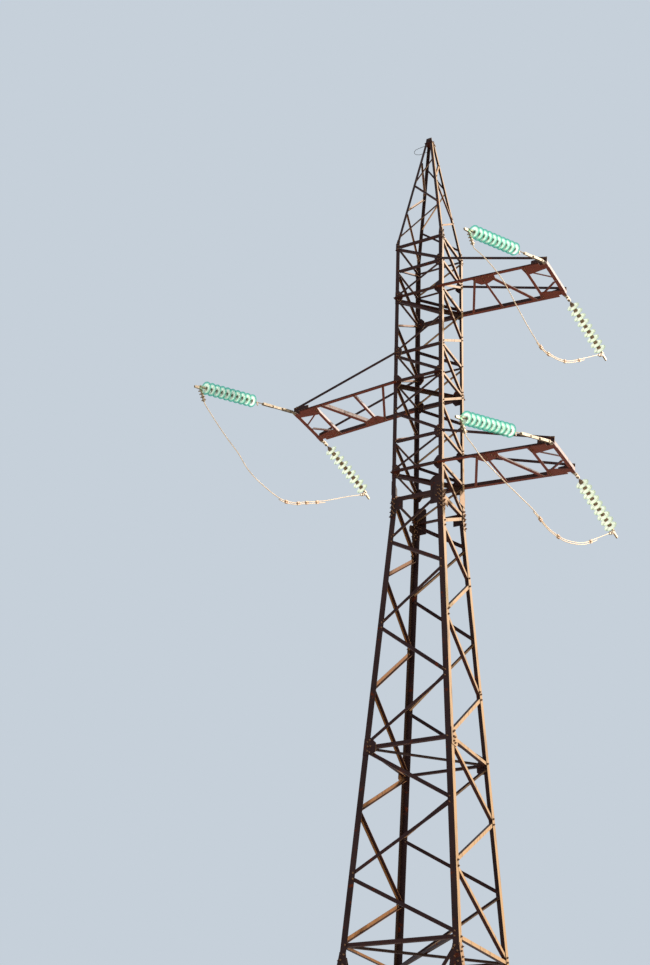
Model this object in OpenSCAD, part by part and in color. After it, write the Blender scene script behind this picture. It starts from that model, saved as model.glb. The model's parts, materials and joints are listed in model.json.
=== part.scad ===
// Lattice transmission pylon: a single-circuit anchor tower of steel angles.
// Four legs on a square plan stand on bolted feet and taper to a straight
// upper body. Three cross arms are staggered right, left, right, each with
// a tension string of glass discs at its front and back tip, and a pointed
// peak closes the top. X runs along the arms, the front face looks at -Y.

/* [Body] */
// Width of the straight upper body, over the leg heels
body_w = 1050; // [850:10:1300]
// Width over the leg heels at the underside of the feet
foot_w = 2960; // [2300:10:3600]
// Height of the lower diaphragm above the foundations
low_diaphragm_z = 7000; // [6000:50:8500]
// Rise from the lower diaphragm to the upper diaphragm
mid_rise = 3400; // [2700:50:4200]
// Rise from the upper diaphragm to the waist, where the taper ends
waist_rise = 4800; // [4000:50:5600]
// Rise from the waist to the lower right arm
arm_rise = 790; // [650:10:1000]
// Height of one bracing panel of the straight body
panel_h = 685; // [560:5:800]
// Height of the peak above the straight body
peak_h = 2980; // [2200:20:3600]
// Width over the leg heels at the top of the peak
peak_w = 160; // [140:5:260]

/* [Legs] */
// Flange width of the stand's leg angles
stand_leg_w = 125; // [110:5:150]
// Flange width of the tapered body's leg angles
low_leg_w = 110; // [95:5:130]
// Flange thickness of the stand's and the tapered body's leg angles
low_leg_t = 10; // [8:1:14]
// Flange width of the straight body's leg angles
up_leg_w = 80; // [70:5:100]
// Flange thickness of the straight body's leg angles
up_leg_t = 8; // [6:1:10]
// Flange width of the peak's leg angles
peak_leg_w = 56; // [45:1:65]
// Flange thickness of the peak's leg angles
peak_leg_t = 6; // [5:1:8]

/* [Bracing] */
// Flange width of the bracing angles of the stand and the tapered body
low_brace_w = 63; // [50:1:75]
// Flange width of the bracing angles of the straight body
up_brace_w = 50; // [40:1:60]
// Flange width of the belts level with the arms
belt_w = 75; // [63:1:90]
// Flange width of the peak's bracing angles
peak_brace_w = 36; // [32:1:45]
// Flange thickness of every bracing angle
brace_t = 5; // [4:1:6]
// Thickness of the gusset plates
gusset_t = 8; // [6:1:12]
// Width of the gusset plates at the arm levels
gusset_w = 170; // [140:10:220]
// Height of the gusset plates at the arm levels
gusset_h = 290; // [230:10:340]
// Width of the wide gusset plates on the back face
wide_gusset_w = 260; // [200:10:300]
// Height of the wide gusset plates on the back face
wide_gusset_h = 350; // [290:10:400]
// Width of the gusset plates at the waist and the upper diaphragm
node_gusset_w = 240; // [180:10:280]
// Height of the gusset plates at the upper diaphragm
node_gusset_h = 310; // [240:10:380]
// Height of the stand's middle belt above the foundations
stand_belt_z = 3450; // [2800:50:4000]

/* [Feet and splices] */
// Side of the square base plates
base_w = 400; // [340:10:500]
// Thickness of the base plates
base_t = 20; // [16:1:30]
// Height of the shoe plates above the base plate
shoe_h = 320; // [240:10:450]
// Diameter of the anchor bolt holes
anchor_hole_d = 42; // [30:1:56]
// Distance of an anchor hole from the plate's centre, along X and along Y
anchor_off = 130; // [110:5:140]
// Height of the splice plates below the lower diaphragm
splice_h = 640; // [500:10:800]
// Height of the waist splice plates
waist_splice_h = 420; // [300:10:560]

/* [Arms] */
// Length of an arm from the leg's heel to the end beam
arm_l = 2240; // [1800:20:2700]
// Drop of an arm's end below its level on the body
arm_drop = 150; // [60:10:240]
// Flange width of the arm's chord angles and end beam
chord_w = 75; // [63:1:90]
// Flange thickness of the chords and the ties
chord_t = 6; // [5:1:8]
// Flange width of the arm's tie angles
tie_w = 56; // [45:1:70]
// Flange width of the arm's bracing angles
arm_brace_w = 50; // [40:1:63]
// Flange width of the arm's long diagonal
arm_diagonal_w = 75; // [56:1:80]
// Width of the arm's flat gusset plates
arm_gusset_w = 215; // [170:5:260]
// Thickness of the lugs that carry the strings
lug_t = 12; // [10:1:16]
// Reach of a lug's hole beyond the chord
lug_reach = 50; // [45:1:60]

/* [Strings] */
// Diameter of a glass disc
disc_d = 260; // [240:2:290]
// Spacing of the discs along a string
disc_pitch = 140; // [130:1:160]
// Discs in a front string
front_discs = 10; // [8:1:11]
// Discs in a back string
back_discs = 9; // [7:1:10]
// Diameter of a cap over the glass
cap_d = 92; // [80:1:104]
// Diameter of the pin between discs
pin_d = 20; // [16:1:24]
// Spacing of the bolts in the front strings' strap links
strap_pitch = 285; // [240:5:320]
// Length of the rod between the front strings' straps and first cap
rod_l = 225; // [150:5:280]
// Spacing of the bolts in the back strings' short link
short_pitch = 75; // [70:1:120]
// Angle in plan between the front strings and the line square to the arms
front_plan = 15; // [10:1:22]
// Angle in plan between the back strings and the line square to the arms
back_plan = 12; // [5:1:20]
// Dip of the front strings below level
front_dip = 15; // [8:1:20]
// Dip of the back strings below level
back_dip = 24; // [15:1:28]
// Length of a front tension clamp's tail
front_tail = 300; // [260:10:360]
// Length of a back tension clamp's tail
back_tail = 220; // [200:10:260]

/* [Jumpers] */
// Diameter of the jumper wires
wire_d = 17; // [14:1:24]
// Diameter of the wire loop at the peak
loop_d = 10; // [8:1:12]

/* [Hidden] */
$fn = 32;

// Clearance between pieces that seat on each other
seat = 0.3;
// Gap between the butted ends of two leg angles
butt = 2;

// Levels
mid_diaphragm_z = low_diaphragm_z + mid_rise;
waist_z = mid_diaphragm_z + waist_rise;
low_arm_z = waist_z + arm_rise;
function panel_z(n) = low_arm_z + (8 - n) * panel_h;
top_z = panel_z(0);
splice_z = low_diaphragm_z - 430;

// Height of each face's waist belt above the kink: front, right, back, left
waist_up = [190, 105, 150, 190];
// Shares of the mid rise and of the waist rise at each face's bracing nodes
mid_shares = [[0.333, 0.667], [0.351, 0.696], [0.333, 0.667], [0.333, 0.667]];
taper_shares = [[0.248, 0.487, 0.71, 0.857], [0.258, 0.503, 0.729, 0.894],
  [0.248, 0.487, 0.71, 0.878], [0.23, 0.487, 0.691, 0.878]];
// Bracing nodes of a face from the lower diaphragm up to the waist belt
function low_nodes(k) = [low_diaphragm_z,
  for (f = mid_shares[k]) low_diaphragm_z + f * mid_rise, mid_diaphragm_z,
  for (f = taper_shares[k]) mid_diaphragm_z + f * waist_rise,
  waist_z + waist_up[k]];
// Bracing nodes of a straight face, from the waist belt up
function up_nodes(k) = [waist_z + waist_up[k], for (n = [8:-1:0]) panel_z(n)];
// Shares of the peak's height at its bracing nodes
peak_shares = [0.06, 0.32, 0.59, 0.83];

// Slopes of the tapered faces
taper = (foot_w - body_w) / 2 / waist_z;
tilt = atan(taper);
peak_tilt = atan((body_w - peak_w) / 2 / peak_h);
// Half width over the heels, and distance along a sloping face
function half(z) = foot_w / 2 - z * taper;
function run(z) = z / cos(tilt);
function peak_half(z) = body_w / 2 - z * tan(peak_tilt);
function peak_run(z) = z / cos(peak_tilt);

// Face frames: X across, Y up the face, Z out of the face; 0 is the front
module low_face(k)
  rotate([0, 0, 90 * k]) translate([0, -foot_w / 2, 0])
    rotate([90 - tilt, 0, 0]) children();
module up_face(k)
  rotate([0, 0, 90 * k]) translate([0, -body_w / 2, 0])
    rotate([90, 0, 0]) children();
module peak_face(k)
  rotate([0, 0, 90 * k]) translate([0, -body_w / 2, top_z])
    rotate([90 - peak_tilt, 0, 0]) children();

// A flat plate in a face, from depth n to n + t
module plate(points, n, t)
  translate([0, 0, n]) linear_extrude(t) polygon(points);

// One flange of a leg between two heel points
module leg_flange(a, b, w, t, inset)
  plate([[a[0] - inset, a[1]], [b[0] - inset, b[1]],
    [b[0] - w, b[1]], [a[0] - w, a[1]]], -t, t);

module low_leg(k, z0, z1, w) {
  a = [half(z0), run(z0)];
  b = [half(z1), run(z1)];
  low_face(k) leg_flange(a, b, w, low_leg_t, 0);
  low_face(k + 1) mirror([1, 0, 0])
    leg_flange(a, b, w, low_leg_t, low_leg_t / 2);
}

module up_leg(k, z0, z1) {
  a = [body_w / 2, z0];
  b = [body_w / 2, z1];
  up_face(k) leg_flange(a, b, up_leg_w, up_leg_t, 0);
  up_face(k + 1) mirror([1, 0, 0])
    leg_flange(a, b, up_leg_w, up_leg_t, up_leg_t / 2);
}

module peak_leg(k) {
  a = [peak_half(seat), peak_run(seat)];
  b = [peak_half(peak_h), peak_run(peak_h)];
  peak_face(k) leg_flange(a, b, peak_leg_w, peak_leg_t, 0);
  peak_face(k + 1) mirror([1, 0, 0])
    leg_flange(a, b, peak_leg_w, peak_leg_t, peak_leg_t / 2);
}

// An angle along X from 0 to len: flat flange in the XY plane under depth
// n, standing flange along the edge on the given side, coped at both ends
module angle_bar(len, w, t, n, side, cope = 0) {
  rotate([90, 0, 90]) linear_extrude(len)
    polygon([[-w / 2, n], [w / 2, n], [w / 2, n - t], [-w / 2, n - t]]);
  translate([cope, 0, 0]) rotate([90, 0, 90]) linear_extrude(len - 2 * cope)
    polygon([[side * w / 2, n - t / 2], [side * w / 2, n - w],
      [side * (w / 2 - t), n - w], [side * (w / 2 - t), n - t / 2]]);
}

// An angle between two points of a face
module brace(p, q, w, t, n, side, cope = 0)
  translate([p[0], p[1], 0])
    rotate([0, 0, atan2(q[1] - p[1], q[0] - p[0])])
      angle_bar(norm(q - p), w, t, n, side, cope);

// Bracing of one face between nodes that lie left and right in turn. A node
// holds its half width, its place up the face and the distance that keeps
// the ends of its two bars apart.
module zigzag(nodes, first, w, n)
  for (i = [0:len(nodes) - 2]) {
    s = (i + first) % 2 == 0 ? 1 : -1;
    a = [-s * nodes[i][0], nodes[i][1] + nodes[i][2] / 2];
    b = [s * nodes[i + 1][0], nodes[i + 1][1] - nodes[i + 1][2] / 2];
    if (s > 0) brace(a, b, w, brace_t, n, 1);
    else brace(b, a, w, brace_t, n, -1);
  }
// Distance between the two bar ends at a node, with a belt between or none
function split(w, belt) = w + 12 + belt;

module belt(x, y, w, n, cope)
  brace([-x, y], [x, y], w, brace_t, n, -1, cope);

// Feet

module foot_shoe(k) {
  rotate([0, 0, 90 * k]) translate([foot_w / 2 - 60, -foot_w / 2 + 60, 0])
    difference() {
      translate([-base_w / 2, -base_w / 2, 0]) cube([base_w, base_w, base_t]);
      for (s = [-1, 1])
        translate([s * anchor_off, -s * anchor_off, -1])
          cylinder(d = anchor_hole_d, h = base_t + 2);
    }
  low_face(k) shoe_plate();
  low_face(k + 1) mirror([1, 0, 0]) shoe_plate();
}

module shoe_plate()
  plate([[half(0) + 105, run(base_t / 2)], [half(0) + 105, run(base_t + 60)],
    [half(0) + 10, run(base_t + shoe_h)],
    [half(0) - stand_leg_w, run(base_t + shoe_h)],
    [half(0) - 230, run(base_t + 60)], [half(0) - 230, run(base_t / 2)]],
    seat, 12);

module foot_shoes() color("#5e4336") for (k = [0:3]) foot_shoe(k);

// Stand

module stand_legs() color("#3a2826")
  for (k = [0:3]) low_leg(k, base_t + seat, splice_z - butt / 2, stand_leg_w);

// In each tier one diagonal lies inside the leg flanges and one outside
stand_in = stand_leg_w / 2;
stand_foot_z = base_t + shoe_h + 60;
plates_top_z = low_diaphragm_z - 110;
plates_low_z = plates_top_z - splice_h;
module stand_bar(z0, z1, n)
  brace([-half(z0) + stand_in, run(z0)], [half(z1) - stand_in, run(z1)],
    low_brace_w, brace_t, n, 1, 70);
module stand_face(k) color("#4a302b") low_face(k) {
  n = -low_leg_t - seat;
  stand_bar(stand_foot_z, stand_belt_z - 95, n);
  stand_bar(stand_belt_z + 95, plates_top_z - 20, n);
  mirror([0, 0, 1]) {
    stand_bar(stand_belt_z - 60, stand_foot_z, -seat);
    stand_bar(plates_low_z - 50, stand_belt_z + 60, -seat);
  }
  belt(half(stand_belt_z) - stand_in, run(stand_belt_z), low_brace_w, n, 40);
}

module stand_face_front() stand_face(0);
module stand_face_right() stand_face(1);
module stand_face_back() stand_face(2);
module stand_face_left() stand_face(3);

// Splice plates that spread out below the lower diaphragm
module splice_plates() color("#33221f")
  for (k = [0:3]) for (m = [0, 1])
    low_face(k) mirror([m, 0, 0]) leg_splice(k % 2 == 0 ? 75 : 0);

module leg_splice(spread)
  plate([[half(plates_top_z), run(plates_top_z)],
    [half(plates_top_z) - low_leg_w, run(plates_top_z)],
    [half(plates_low_z) - low_leg_w - 130, run(plates_low_z)],
    [half(plates_low_z) + spread, run(plates_low_z)]], seat, low_leg_t);

// Tapered body

module lower_legs() color("#3a2826")
  for (k = [0:3]) low_leg(k, splice_z + butt / 2, waist_z - butt / 2, low_leg_w);

low_in = low_leg_w / 2;
module lower_face(k) color("#4a302b") low_face(k) {
  n = -low_leg_t - seat;
  nodes = low_nodes(k);
  last = len(nodes) - 1;
  zigzag([for (i = [0:last]) [half(nodes[i]) - low_in, run(nodes[i]),
    split(low_brace_w, i % 3 == 0 || i == last ? low_brace_w : 0)]],
    1, low_brace_w, n);
  for (z = [low_diaphragm_z, mid_diaphragm_z])
    belt(half(z) - low_in, run(z), low_brace_w, n, 40);
  mirror([1, 0, 0]) node_gusset();
}

// Gusset on the outside of a leg where bars and belt meet
module node_gusset() {
  z = mid_diaphragm_z;
  h = node_gusset_h / 2;
  plate([[half(z - h) - 1, run(z - h)], [half(z + h) - 1, run(z + h)],
    [half(z + h) - low_leg_w - 20, run(z + h)],
    [half(z) - node_gusset_w, run(z + h / 3)],
    [half(z) - node_gusset_w, run(z - h * 0.7)],
    [half(z - h) - node_gusset_w + 60, run(z - h)]], seat, gusset_t);
}

module lower_face_front() lower_face(0);
module lower_face_right() lower_face(1);
module lower_face_back() lower_face(2);
module lower_face_left() lower_face(3);

// Diagonals that keep the body square at its diaphragms, laid on the belts
module cross_bar(w, h, z, k, inner, up)
  rotate([0, 0, 45 + 90 * k]) translate([-(h - inner) * sqrt(2), 0, z])
    mirror([0, 0, up])
      angle_bar(2 * (h - inner) * sqrt(2), w, brace_t, 0, 1);

function belt_seat(z, w, over) =
  z + (brace_t - w / 2) * cos(tilt) - over * sin(tilt) + seat;

module diaphragms() color("#33221f") {
  over = low_in + 40 - low_brace_w * 0.71;
  for (z = [mid_diaphragm_z, low_diaphragm_z])
    cross_bar(up_brace_w, half(z), belt_seat(z, low_brace_w, over), 0, 75, 1);
  z = belt_seat(low_diaphragm_z, low_brace_w, over) + up_brace_w + seat;
  cross_bar(up_brace_w, half(low_diaphragm_z), z, 1, 75, 1);
}

// Plates across the kink at the waist. On the front and the back they are
// the gussets of the bracing too, from the first to the second height.
module waist_splices() color("#33221f")
  for (k = [0:3]) for (m = [0, 1]) {
    span = k % 2 == 0 ? (m == 0 ? [-90, 500] : [-60, 190])
      : (m == 0 ? [290, 590] : [-90, 75]);
    low_face(k) mirror([m, 0, 0]) splice_below(span[0]);
    up_face(k) mirror([m, 0, 0]) splice_above(span[0], span[1]);
  }

// The part below the kink; it widens where the gusset starts below it, by a
// little more than the part above, so that their edges don't almost coincide
kink_step = 3;
module splice_below(start) {
  z0 = waist_z - waist_splice_h / 2;
  z1 = waist_z + start;
  w = start < 0 ? node_gusset_w + kink_step : low_leg_w;
  plate(concat([[half(z0), run(z0)], [half(z0) - low_leg_w, run(z0)]],
    start < 0 ? [[half(z1) - low_leg_w, run(z1)], [half(z1) - w, run(z1)]] : [],
    [[half(waist_z) - w, run(waist_z) + 1], [half(waist_z), run(waist_z) + 1]]),
    seat, gusset_t);
}

// The part above the kink, with the gusset in it or as a plate of its own
module splice_above(start, end) {
  x = body_w / 2;
  w = node_gusset_w;
  z0 = waist_z - 1;
  z1 = waist_z + end;
  top = waist_z + waist_splice_h / 2;
  corner = [[x - w, z1 - 60], [x - w + 60, z1]];
  if (start < 0)
    plate(concat([[x, z0], [x - w, z0]], corner, z1 < top
      ? [[x - up_leg_w, z1], [x - up_leg_w, top], [x, top]] : [[x, z1]]),
      seat, gusset_t);
  else {
    plate([[x, z0], [x - low_leg_w, z0], [x - up_leg_w, top], [x, top]],
      seat, gusset_t);
    plate(concat([[x, waist_z + start], [x - w, waist_z + start]], corner,
      [[x, z1]]), seat, gusset_t);
  }
}

// Straight body

module upper_legs() color("#3a2826")
  for (k = [0:3]) up_leg(k, waist_z + butt / 2, top_z);

up_in = up_leg_w / 2;
up_n = -up_leg_t - seat;
// Levels of the arms and of their ties, and which way each arm points
arm_z = [panel_z(2), panel_z(5), low_arm_z];
arm_turn = [0, 180, 0];
// Depth of the chords outside the legs, with a gusset between
chord_n = gusset_t + 2 * seat;
module upper_face(k) color("#4a302b") up_face(k) {
  x = body_w / 2 - up_in;
  nodes = up_nodes(k);
  last = len(nodes) - 1;
  zigzag([for (i = [0:last]) [x, i == last ? top_z - up_brace_w : nodes[i],
    split(up_brace_w, i == 0 ? low_brace_w : i % 3 == 0 && i < last ? 0
      : up_brace_w)]], 1, up_brace_w, up_n);
  belt(x, nodes[0], low_brace_w, up_n, 40);
  belt(x, top_z - up_brace_w, up_brace_w, up_n, 35);
  for (i = [0:2]) {
    belt(x, arm_z[i] + panel_h, up_brace_w, up_n, 35);
    if (k % 2 == 1) belt(x, arm_z[i], up_brace_w, up_n, 60);
    else mirror([(arm_turn[i] + 90 * k) % 360 == 0 ? 0 : 1, 0, 0]) {
      outer_belt(arm_z[i]);
      arm_gusset(arm_z[i], k == 2 && i == 2);
      mirror([1, 0, 0]) arm_gusset(arm_z[i], k == 2 && i == 1);
      arm_gusset(arm_z[i] + panel_h, false);
    }
  }
}

// The belt outside the legs that carries on an arm's chord, arm towards +X
module outer_belt(z)
  translate([-body_w / 2 - 6, z - belt_w / 2, chord_n]) {
    cube([body_w + 2 - up_leg_w, belt_w, chord_t]);
    cube([body_w + 2 - up_leg_w, chord_t, belt_w]);
  }

// Gusset on the outside of a leg, under a chord or a tie
module arm_gusset(z, wide) {
  x0 = body_w / 2 - 1;
  x1 = body_w / 2 - (wide ? wide_gusset_w : gusset_w);
  h = wide ? wide_gusset_h : gusset_h;
  plate([[x0, z - h / 2], [x0, z + h / 2], [x1 + 70, z + h / 2],
    [x1, z + h / 5], [x1, z - h / 5], [x1 + 70, z - h / 2]], seat, gusset_t);
}

module upper_face_front() upper_face(0);
module upper_face_right() upper_face(1);
module upper_face_back() upper_face(2);
module upper_face_left() upper_face(3);

// At the arms the diagonals hang under the flanges of the side belts
module arm_level_diaphragms() color("#33221f")
  for (z = arm_z)
    cross_bar(belt_w, body_w / 2, z - up_brace_w / 2 - seat, 0, 58, 0);

// Peak

module peak_legs() color("#3a2826") {
  for (k = [0:3]) {
    peak_leg(k);
    for (m = [0, 1]) {
      up_face(k) mirror([m, 0, 0])
        plate([[body_w / 2, top_z - 150], [body_w / 2 - up_leg_w, top_z - 150],
          [body_w / 2 - up_leg_w, top_z + 1], [body_w / 2, top_z + 1]],
          seat, gusset_t);
      peak_face(k) mirror([m, 0, 0])
        plate([[peak_half(0), -1], [peak_half(0) - up_leg_w, -1],
          [peak_half(150) - peak_leg_w, peak_run(150)],
          [peak_half(150), peak_run(150)]], seat, gusset_t);
    }
  }
}

peak_in = peak_leg_w / 2;
peak_split = 105;
module peak_bracing() color("#4a302b") for (k = [0:3]) peak_face(k) {
  n = -peak_leg_t - seat;
  zigzag([for (f = peak_shares) [peak_half(f * peak_h) - peak_in,
    peak_run(f * peak_h), peak_split]], 0, peak_brace_w, n);
}

// Plates that close the top of the peak, and the bolt between them
head_rise = 140;
module peak_head() color("#33221f") {
  zt = top_z + peak_h;
  for (m = [0, 1]) mirror([0, m, 0]) translate([0, peak_w / 2 - 10, 0])
    rotate([90, 0, 0]) linear_extrude(10)
      polygon([[-peak_w / 2, zt + 5], [peak_w / 2, zt + 5],
        [peak_w / 2 - 20, zt + head_rise], [-peak_w / 2 + 20, zt + head_rise]]);
  translate([-peak_w / 2 - 15, -peak_w / 2 - 15, zt + seat])
    cube([peak_w + 30, peak_w + 30, 10]);
  translate([0, -peak_w / 2 - 20, zt + head_rise - 50]) rotate([-90, 0, 0])
    cylinder(d = 24, h = peak_w + 40);
}

// Arms, drawn for an arm that points along +X from the leg's heel

arm_tilt = asin(arm_drop / arm_l);
arm_y = body_w / 2 + chord_n + chord_t;
chord_z = -chord_w / 2;
module arm_place(i)
  rotate([0, 0, arm_turn[i]]) translate([body_w / 2, 0, arm_z[i]])
    rotate([0, arm_tilt, 0]) children();

// Shares of the arm's length at its bracing points
strut_1 = 0.39;
strut_2 = 0.79;
foot_1 = 0.1;
foot_2 = 0.72;
// Length at the tip where a chord's flat flange is cut back for the lug
flange_cut = 145;
module arm_frame(i) color("#5a2f24") arm_place(i) {
  for (m = [0, 1]) mirror([0, m, 0]) {
    lap = up_leg_w - 6;
    translate([-lap, -arm_y, chord_z]) cube([lap + arm_l + 1, chord_t, chord_w]);
    translate([-lap, -arm_y + chord_t - chord_w, chord_z])
      cube([lap + arm_l - flange_cut, chord_w, chord_t]);
    arm_corner();
  }
  translate([arm_l, -arm_y, chord_z]) cube([chord_t, 2 * arm_y, chord_w]);
  translate([arm_l - chord_w + chord_t, -arm_y + 2, chord_z])
    cube([chord_w - 1, 2 * arm_y - 4, chord_t]);
  y = arm_y + chord_w / 3;
  g = 0.325;
  arm_bar([g * arm_l, -y], [foot_1 * arm_l, y], arm_brace_w, 1);
  arm_bar([strut_1 * arm_l, -y], [strut_1 * arm_l, y], arm_brace_w, 1);
  arm_bar([(strut_1 + 0.06) * arm_l, -y], [foot_2 * arm_l, y], arm_diagonal_w, 1);
  arm_bar([strut_2 * arm_l, -y], [strut_2 * arm_l, y], arm_brace_w + 10, 1);
  yi = arm_y - chord_w;
  arm_bar([(strut_2 - 0.015) * arm_l, -yi], [arm_l - 30, -0.12 * yi], 32, 1);
  arm_bar([(strut_2 - 0.015) * arm_l, yi], [arm_l - 30, 0.12 * yi], 32, -1);
  translate([0, 0, chord_z - gusset_t + 1]) linear_extrude(gusset_t)
    polygon([[(g - 0.03) * arm_l, gusset_y], [(g - 0.02) * arm_l, -arm_y + 110],
      [(g + 0.02) * arm_l, -arm_y + arm_gusset_w],
      [(strut_1 + 0.02) * arm_l, -arm_y + arm_gusset_w],
      [(strut_1 + 0.11) * arm_l, -arm_y + 110],
      [(strut_1 + 0.12) * arm_l, gusset_y]]);
}

// Outer edge of the flat gussets, under the chord's flange
gusset_y = -arm_y + chord_t - chord_w + 10;
module arm_bar(p, q, w, side)
  translate([0, 0, chord_z - brace_t + 1]) mirror([0, 0, 1])
    brace(p, q, w, brace_t, 0, side, chord_w);

// Flat gusset at the arm's front corner, with the lug that carries a string
lug_in = 34;
module arm_corner()
  difference() {
    union() {
      translate([0, 0, chord_z - gusset_t + 1]) linear_extrude(gusset_t)
        polygon([[(strut_2 - 0.03) * arm_l, gusset_y],
          [(strut_2 - 0.01) * arm_l, -arm_y + arm_gusset_w],
          [strut_2 * arm_l + 60, -arm_y + arm_gusset_w],
          [arm_l + chord_t, -arm_y + 130], [arm_l + chord_t, -arm_y + 1],
          [arm_l - flange_cut, -arm_y + 1], [arm_l - flange_cut, gusset_y]]);
      translate([0, 0, chord_z - lug_t + 1]) linear_extrude(lug_t)
        polygon([[arm_l - 90, -arm_y + 120], [arm_l + chord_t - 1, -arm_y + 120],
          [arm_l + chord_t - 1, -arm_y - lug_reach - 14],
          [arm_l - lug_in + 14, -arm_y - lug_reach - 32],
          [arm_l - lug_in - 14, -arm_y - lug_reach - 32],
          [arm_l - lug_in - 34, -arm_y - lug_reach - 14],
          [arm_l - 90, -arm_y + 20]]);
    }
    translate([arm_l - lug_in, -arm_y - lug_reach, chord_z - lug_t - 2])
      cylinder(d = pin_d + 4 + 2 * seat, h = lug_t + gusset_t + 6);
  }

// Ties from one panel above the arm to its end, and the end plates
plate_l = 330;
module arm_ties(i) color("#3a2826") {
  for (m = [0, 1]) mirror([0, m, 0]) {
    // At the front the flange points inwards, at the back outwards
    back = m == (arm_turn[i] == 0 ? 1 : 0);
    rotate([0, 0, arm_turn[i]])
      translate([body_w / 2, -arm_y, arm_z[i]]) rotate([90, 0, 0]) {
        zt = panel_h;
        ze = -arm_drop + chord_w / 2 + tie_w / 2 + 34;
        xe = arm_l * cos(arm_tilt) - 20;
        ang = atan2(ze - zt, xe);
        translate([0, zt, 0]) rotate([0, 0, ang]) {
          l = norm([xe, ze - zt]);
          translate([-up_leg_w / 2, -tie_w / 2, -chord_t])
            cube([l + up_leg_w / 2, tie_w, chord_t]);
          translate([tie_w / 2 + 6, tie_w / 2 - chord_t, back ? -chord_t : -tie_w])
            cube([l - tie_w / 2 - 6 - (back ? plate_l : 0), chord_t, tie_w]);
        }
      }
  }
  arm_place(i) for (m = [0, 1]) mirror([0, m, 0])
    translate([0, -arm_y - seat, 0]) rotate([90, 0, 0]) linear_extrude(gusset_t)
      polygon([[arm_l - plate_l, chord_z + 8], [arm_l + chord_t, chord_z + 8],
        [arm_l + chord_t, chord_w / 2 + 85], [arm_l - 60, chord_w / 2 + 95],
        [arm_l - plate_l, chord_w / 2 + 60]]);
}

module upper_arm_frame() arm_frame(0);
module upper_arm_ties() arm_ties(0);
module left_arm_frame() arm_frame(1);
module left_arm_ties() arm_ties(1);
module lower_arm_frame() arm_frame(2);
module lower_arm_ties() arm_ties(2);

// Strings. Front is -1 and back is +1 in the object's own Y.

function string_turn(i, e) =
  (e < 0 ? -90 - front_plan : 90 - back_plan) - arm_turn[i];
// Dip in the arm's own frame, so that the arm's droop doesn't add to it
function string_dip(i, e) = (e < 0 ? front_dip : back_dip)
  - arm_tilt * cos(string_turn(i, e));
// Straps in the chain between the lug and the first disc
function straps(i, e) = e > 0 ? 1 : i == 0 ? 2 : 3;
function strap_l(e) = e < 0 ? strap_pitch : short_pitch;
fork_l = 80;
eye_l = 60;
function chain_l(i, e) = straps(i, e) * strap_l(e) + (e < 0 ? rod_l : eye_l);
// Discs of a string, and their length
function discs(e) = e < 0 ? front_discs : back_discs;
function discs_l(e) = discs(e) * disc_pitch;

// Frame at the lug's hole, X along the string in plan
module lug_place(i, e)
  arm_place(i)
    translate([arm_l - lug_in,
      (arm_turn[i] == 0 ? e : -e) * (arm_y + lug_reach),
      chord_z - lug_t / 2 + 1])
      rotate([0, 0, string_turn(i, e)]) children();
// Frame at the dipping chain's first bolt
module chain_place(i, e)
  lug_place(i, e) translate([fork_l, 0, 0])
    rotate([0, string_dip(i, e), 0]) children();
module disc_place(i, e)
  chain_place(i, e) translate([chain_l(i, e), 0, 0])
    for (j = [0:discs(e) - 1]) translate([j * disc_pitch, 0, 0]) children();

// Revolved profile about the string's axis: pairs of distance and radius
module turned(points) rotate([0, 90, 0]) rotate_extrude()
  polygon([for (p = points) [p[1], p[0]]]);

head_d = cap_d * 0.76;
skirt = 84;
module glass_disc() turned([[34, 0], [34, head_d / 2 - 6], [40, head_d / 2],
  [skirt, head_d / 2], [skirt + 2, cap_d / 2], [skirt + 7, disc_d * 0.38],
  [skirt + 19, disc_d / 2 - 3], [skirt + 25, disc_d / 2], [skirt + 30, disc_d / 2 - 5],
  [skirt + 22, disc_d * 0.43], [skirt + 34, disc_d * 0.405], [skirt + 34, disc_d * 0.38],
  [skirt + 19, disc_d * 0.35], [skirt + 34, disc_d * 0.305], [skirt + 34, disc_d * 0.28],
  [skirt + 17, disc_d * 0.25], [skirt + 26, disc_d * 0.19], [skirt + 26, disc_d * 0.16],
  [skirt + 13, disc_d * 0.13], [skirt + 13, pin_d / 2 + 8], [58, pin_d / 2 + 8], [58, 0]]);

module cap() turned([[0, pin_d / 2 + seat], [0, pin_d / 2 + 9], [7, pin_d / 2 + 14],
  [22, pin_d / 2 + 14], [34, cap_d / 2 - 8], [62, cap_d / 2 - 2], [66, cap_d / 2],
  [skirt - seat, cap_d / 2], [skirt - seat, head_d / 2 + seat],
  [40 - seat, head_d / 2 + seat], [34 - seat, head_d / 2 - 6 + seat],
  [34 - seat, 0], [14, 0], [14, pin_d / 2 + seat]]);

module pin() turned([[58 + seat, 0], [58 + seat, pin_d / 2 + 8 - seat],
  [skirt + 12, pin_d / 2 + 8 - seat], [skirt + 12, pin_d / 2],
  [disc_pitch + 14 - seat, pin_d / 2], [disc_pitch + 14 - seat, 0]]);

module glass_discs(i) color("#9fd8b8") for (e = [-1, 1]) disc_place(i, e) glass_disc();
module caps(i) color("#4a443e") for (e = [-1, 1]) disc_place(i, e) { cap(); pin(); }

module upper_glass_discs() glass_discs(0);
module left_glass_discs() glass_discs(1);
module lower_glass_discs() glass_discs(2);
module upper_caps() caps(0);
module left_caps() caps(1);
module lower_caps() caps(2);

// A flat link with round ends and its length between bolts along X
module flat_link(l, w, t, y)
  translate([0, y + t / 2, 0]) rotate([90, 0, 0]) linear_extrude(t) {
    circle(d = w);
    translate([l, 0]) circle(d = w);
    translate([0, -w / 2]) square([l, w]);
  }

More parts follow.
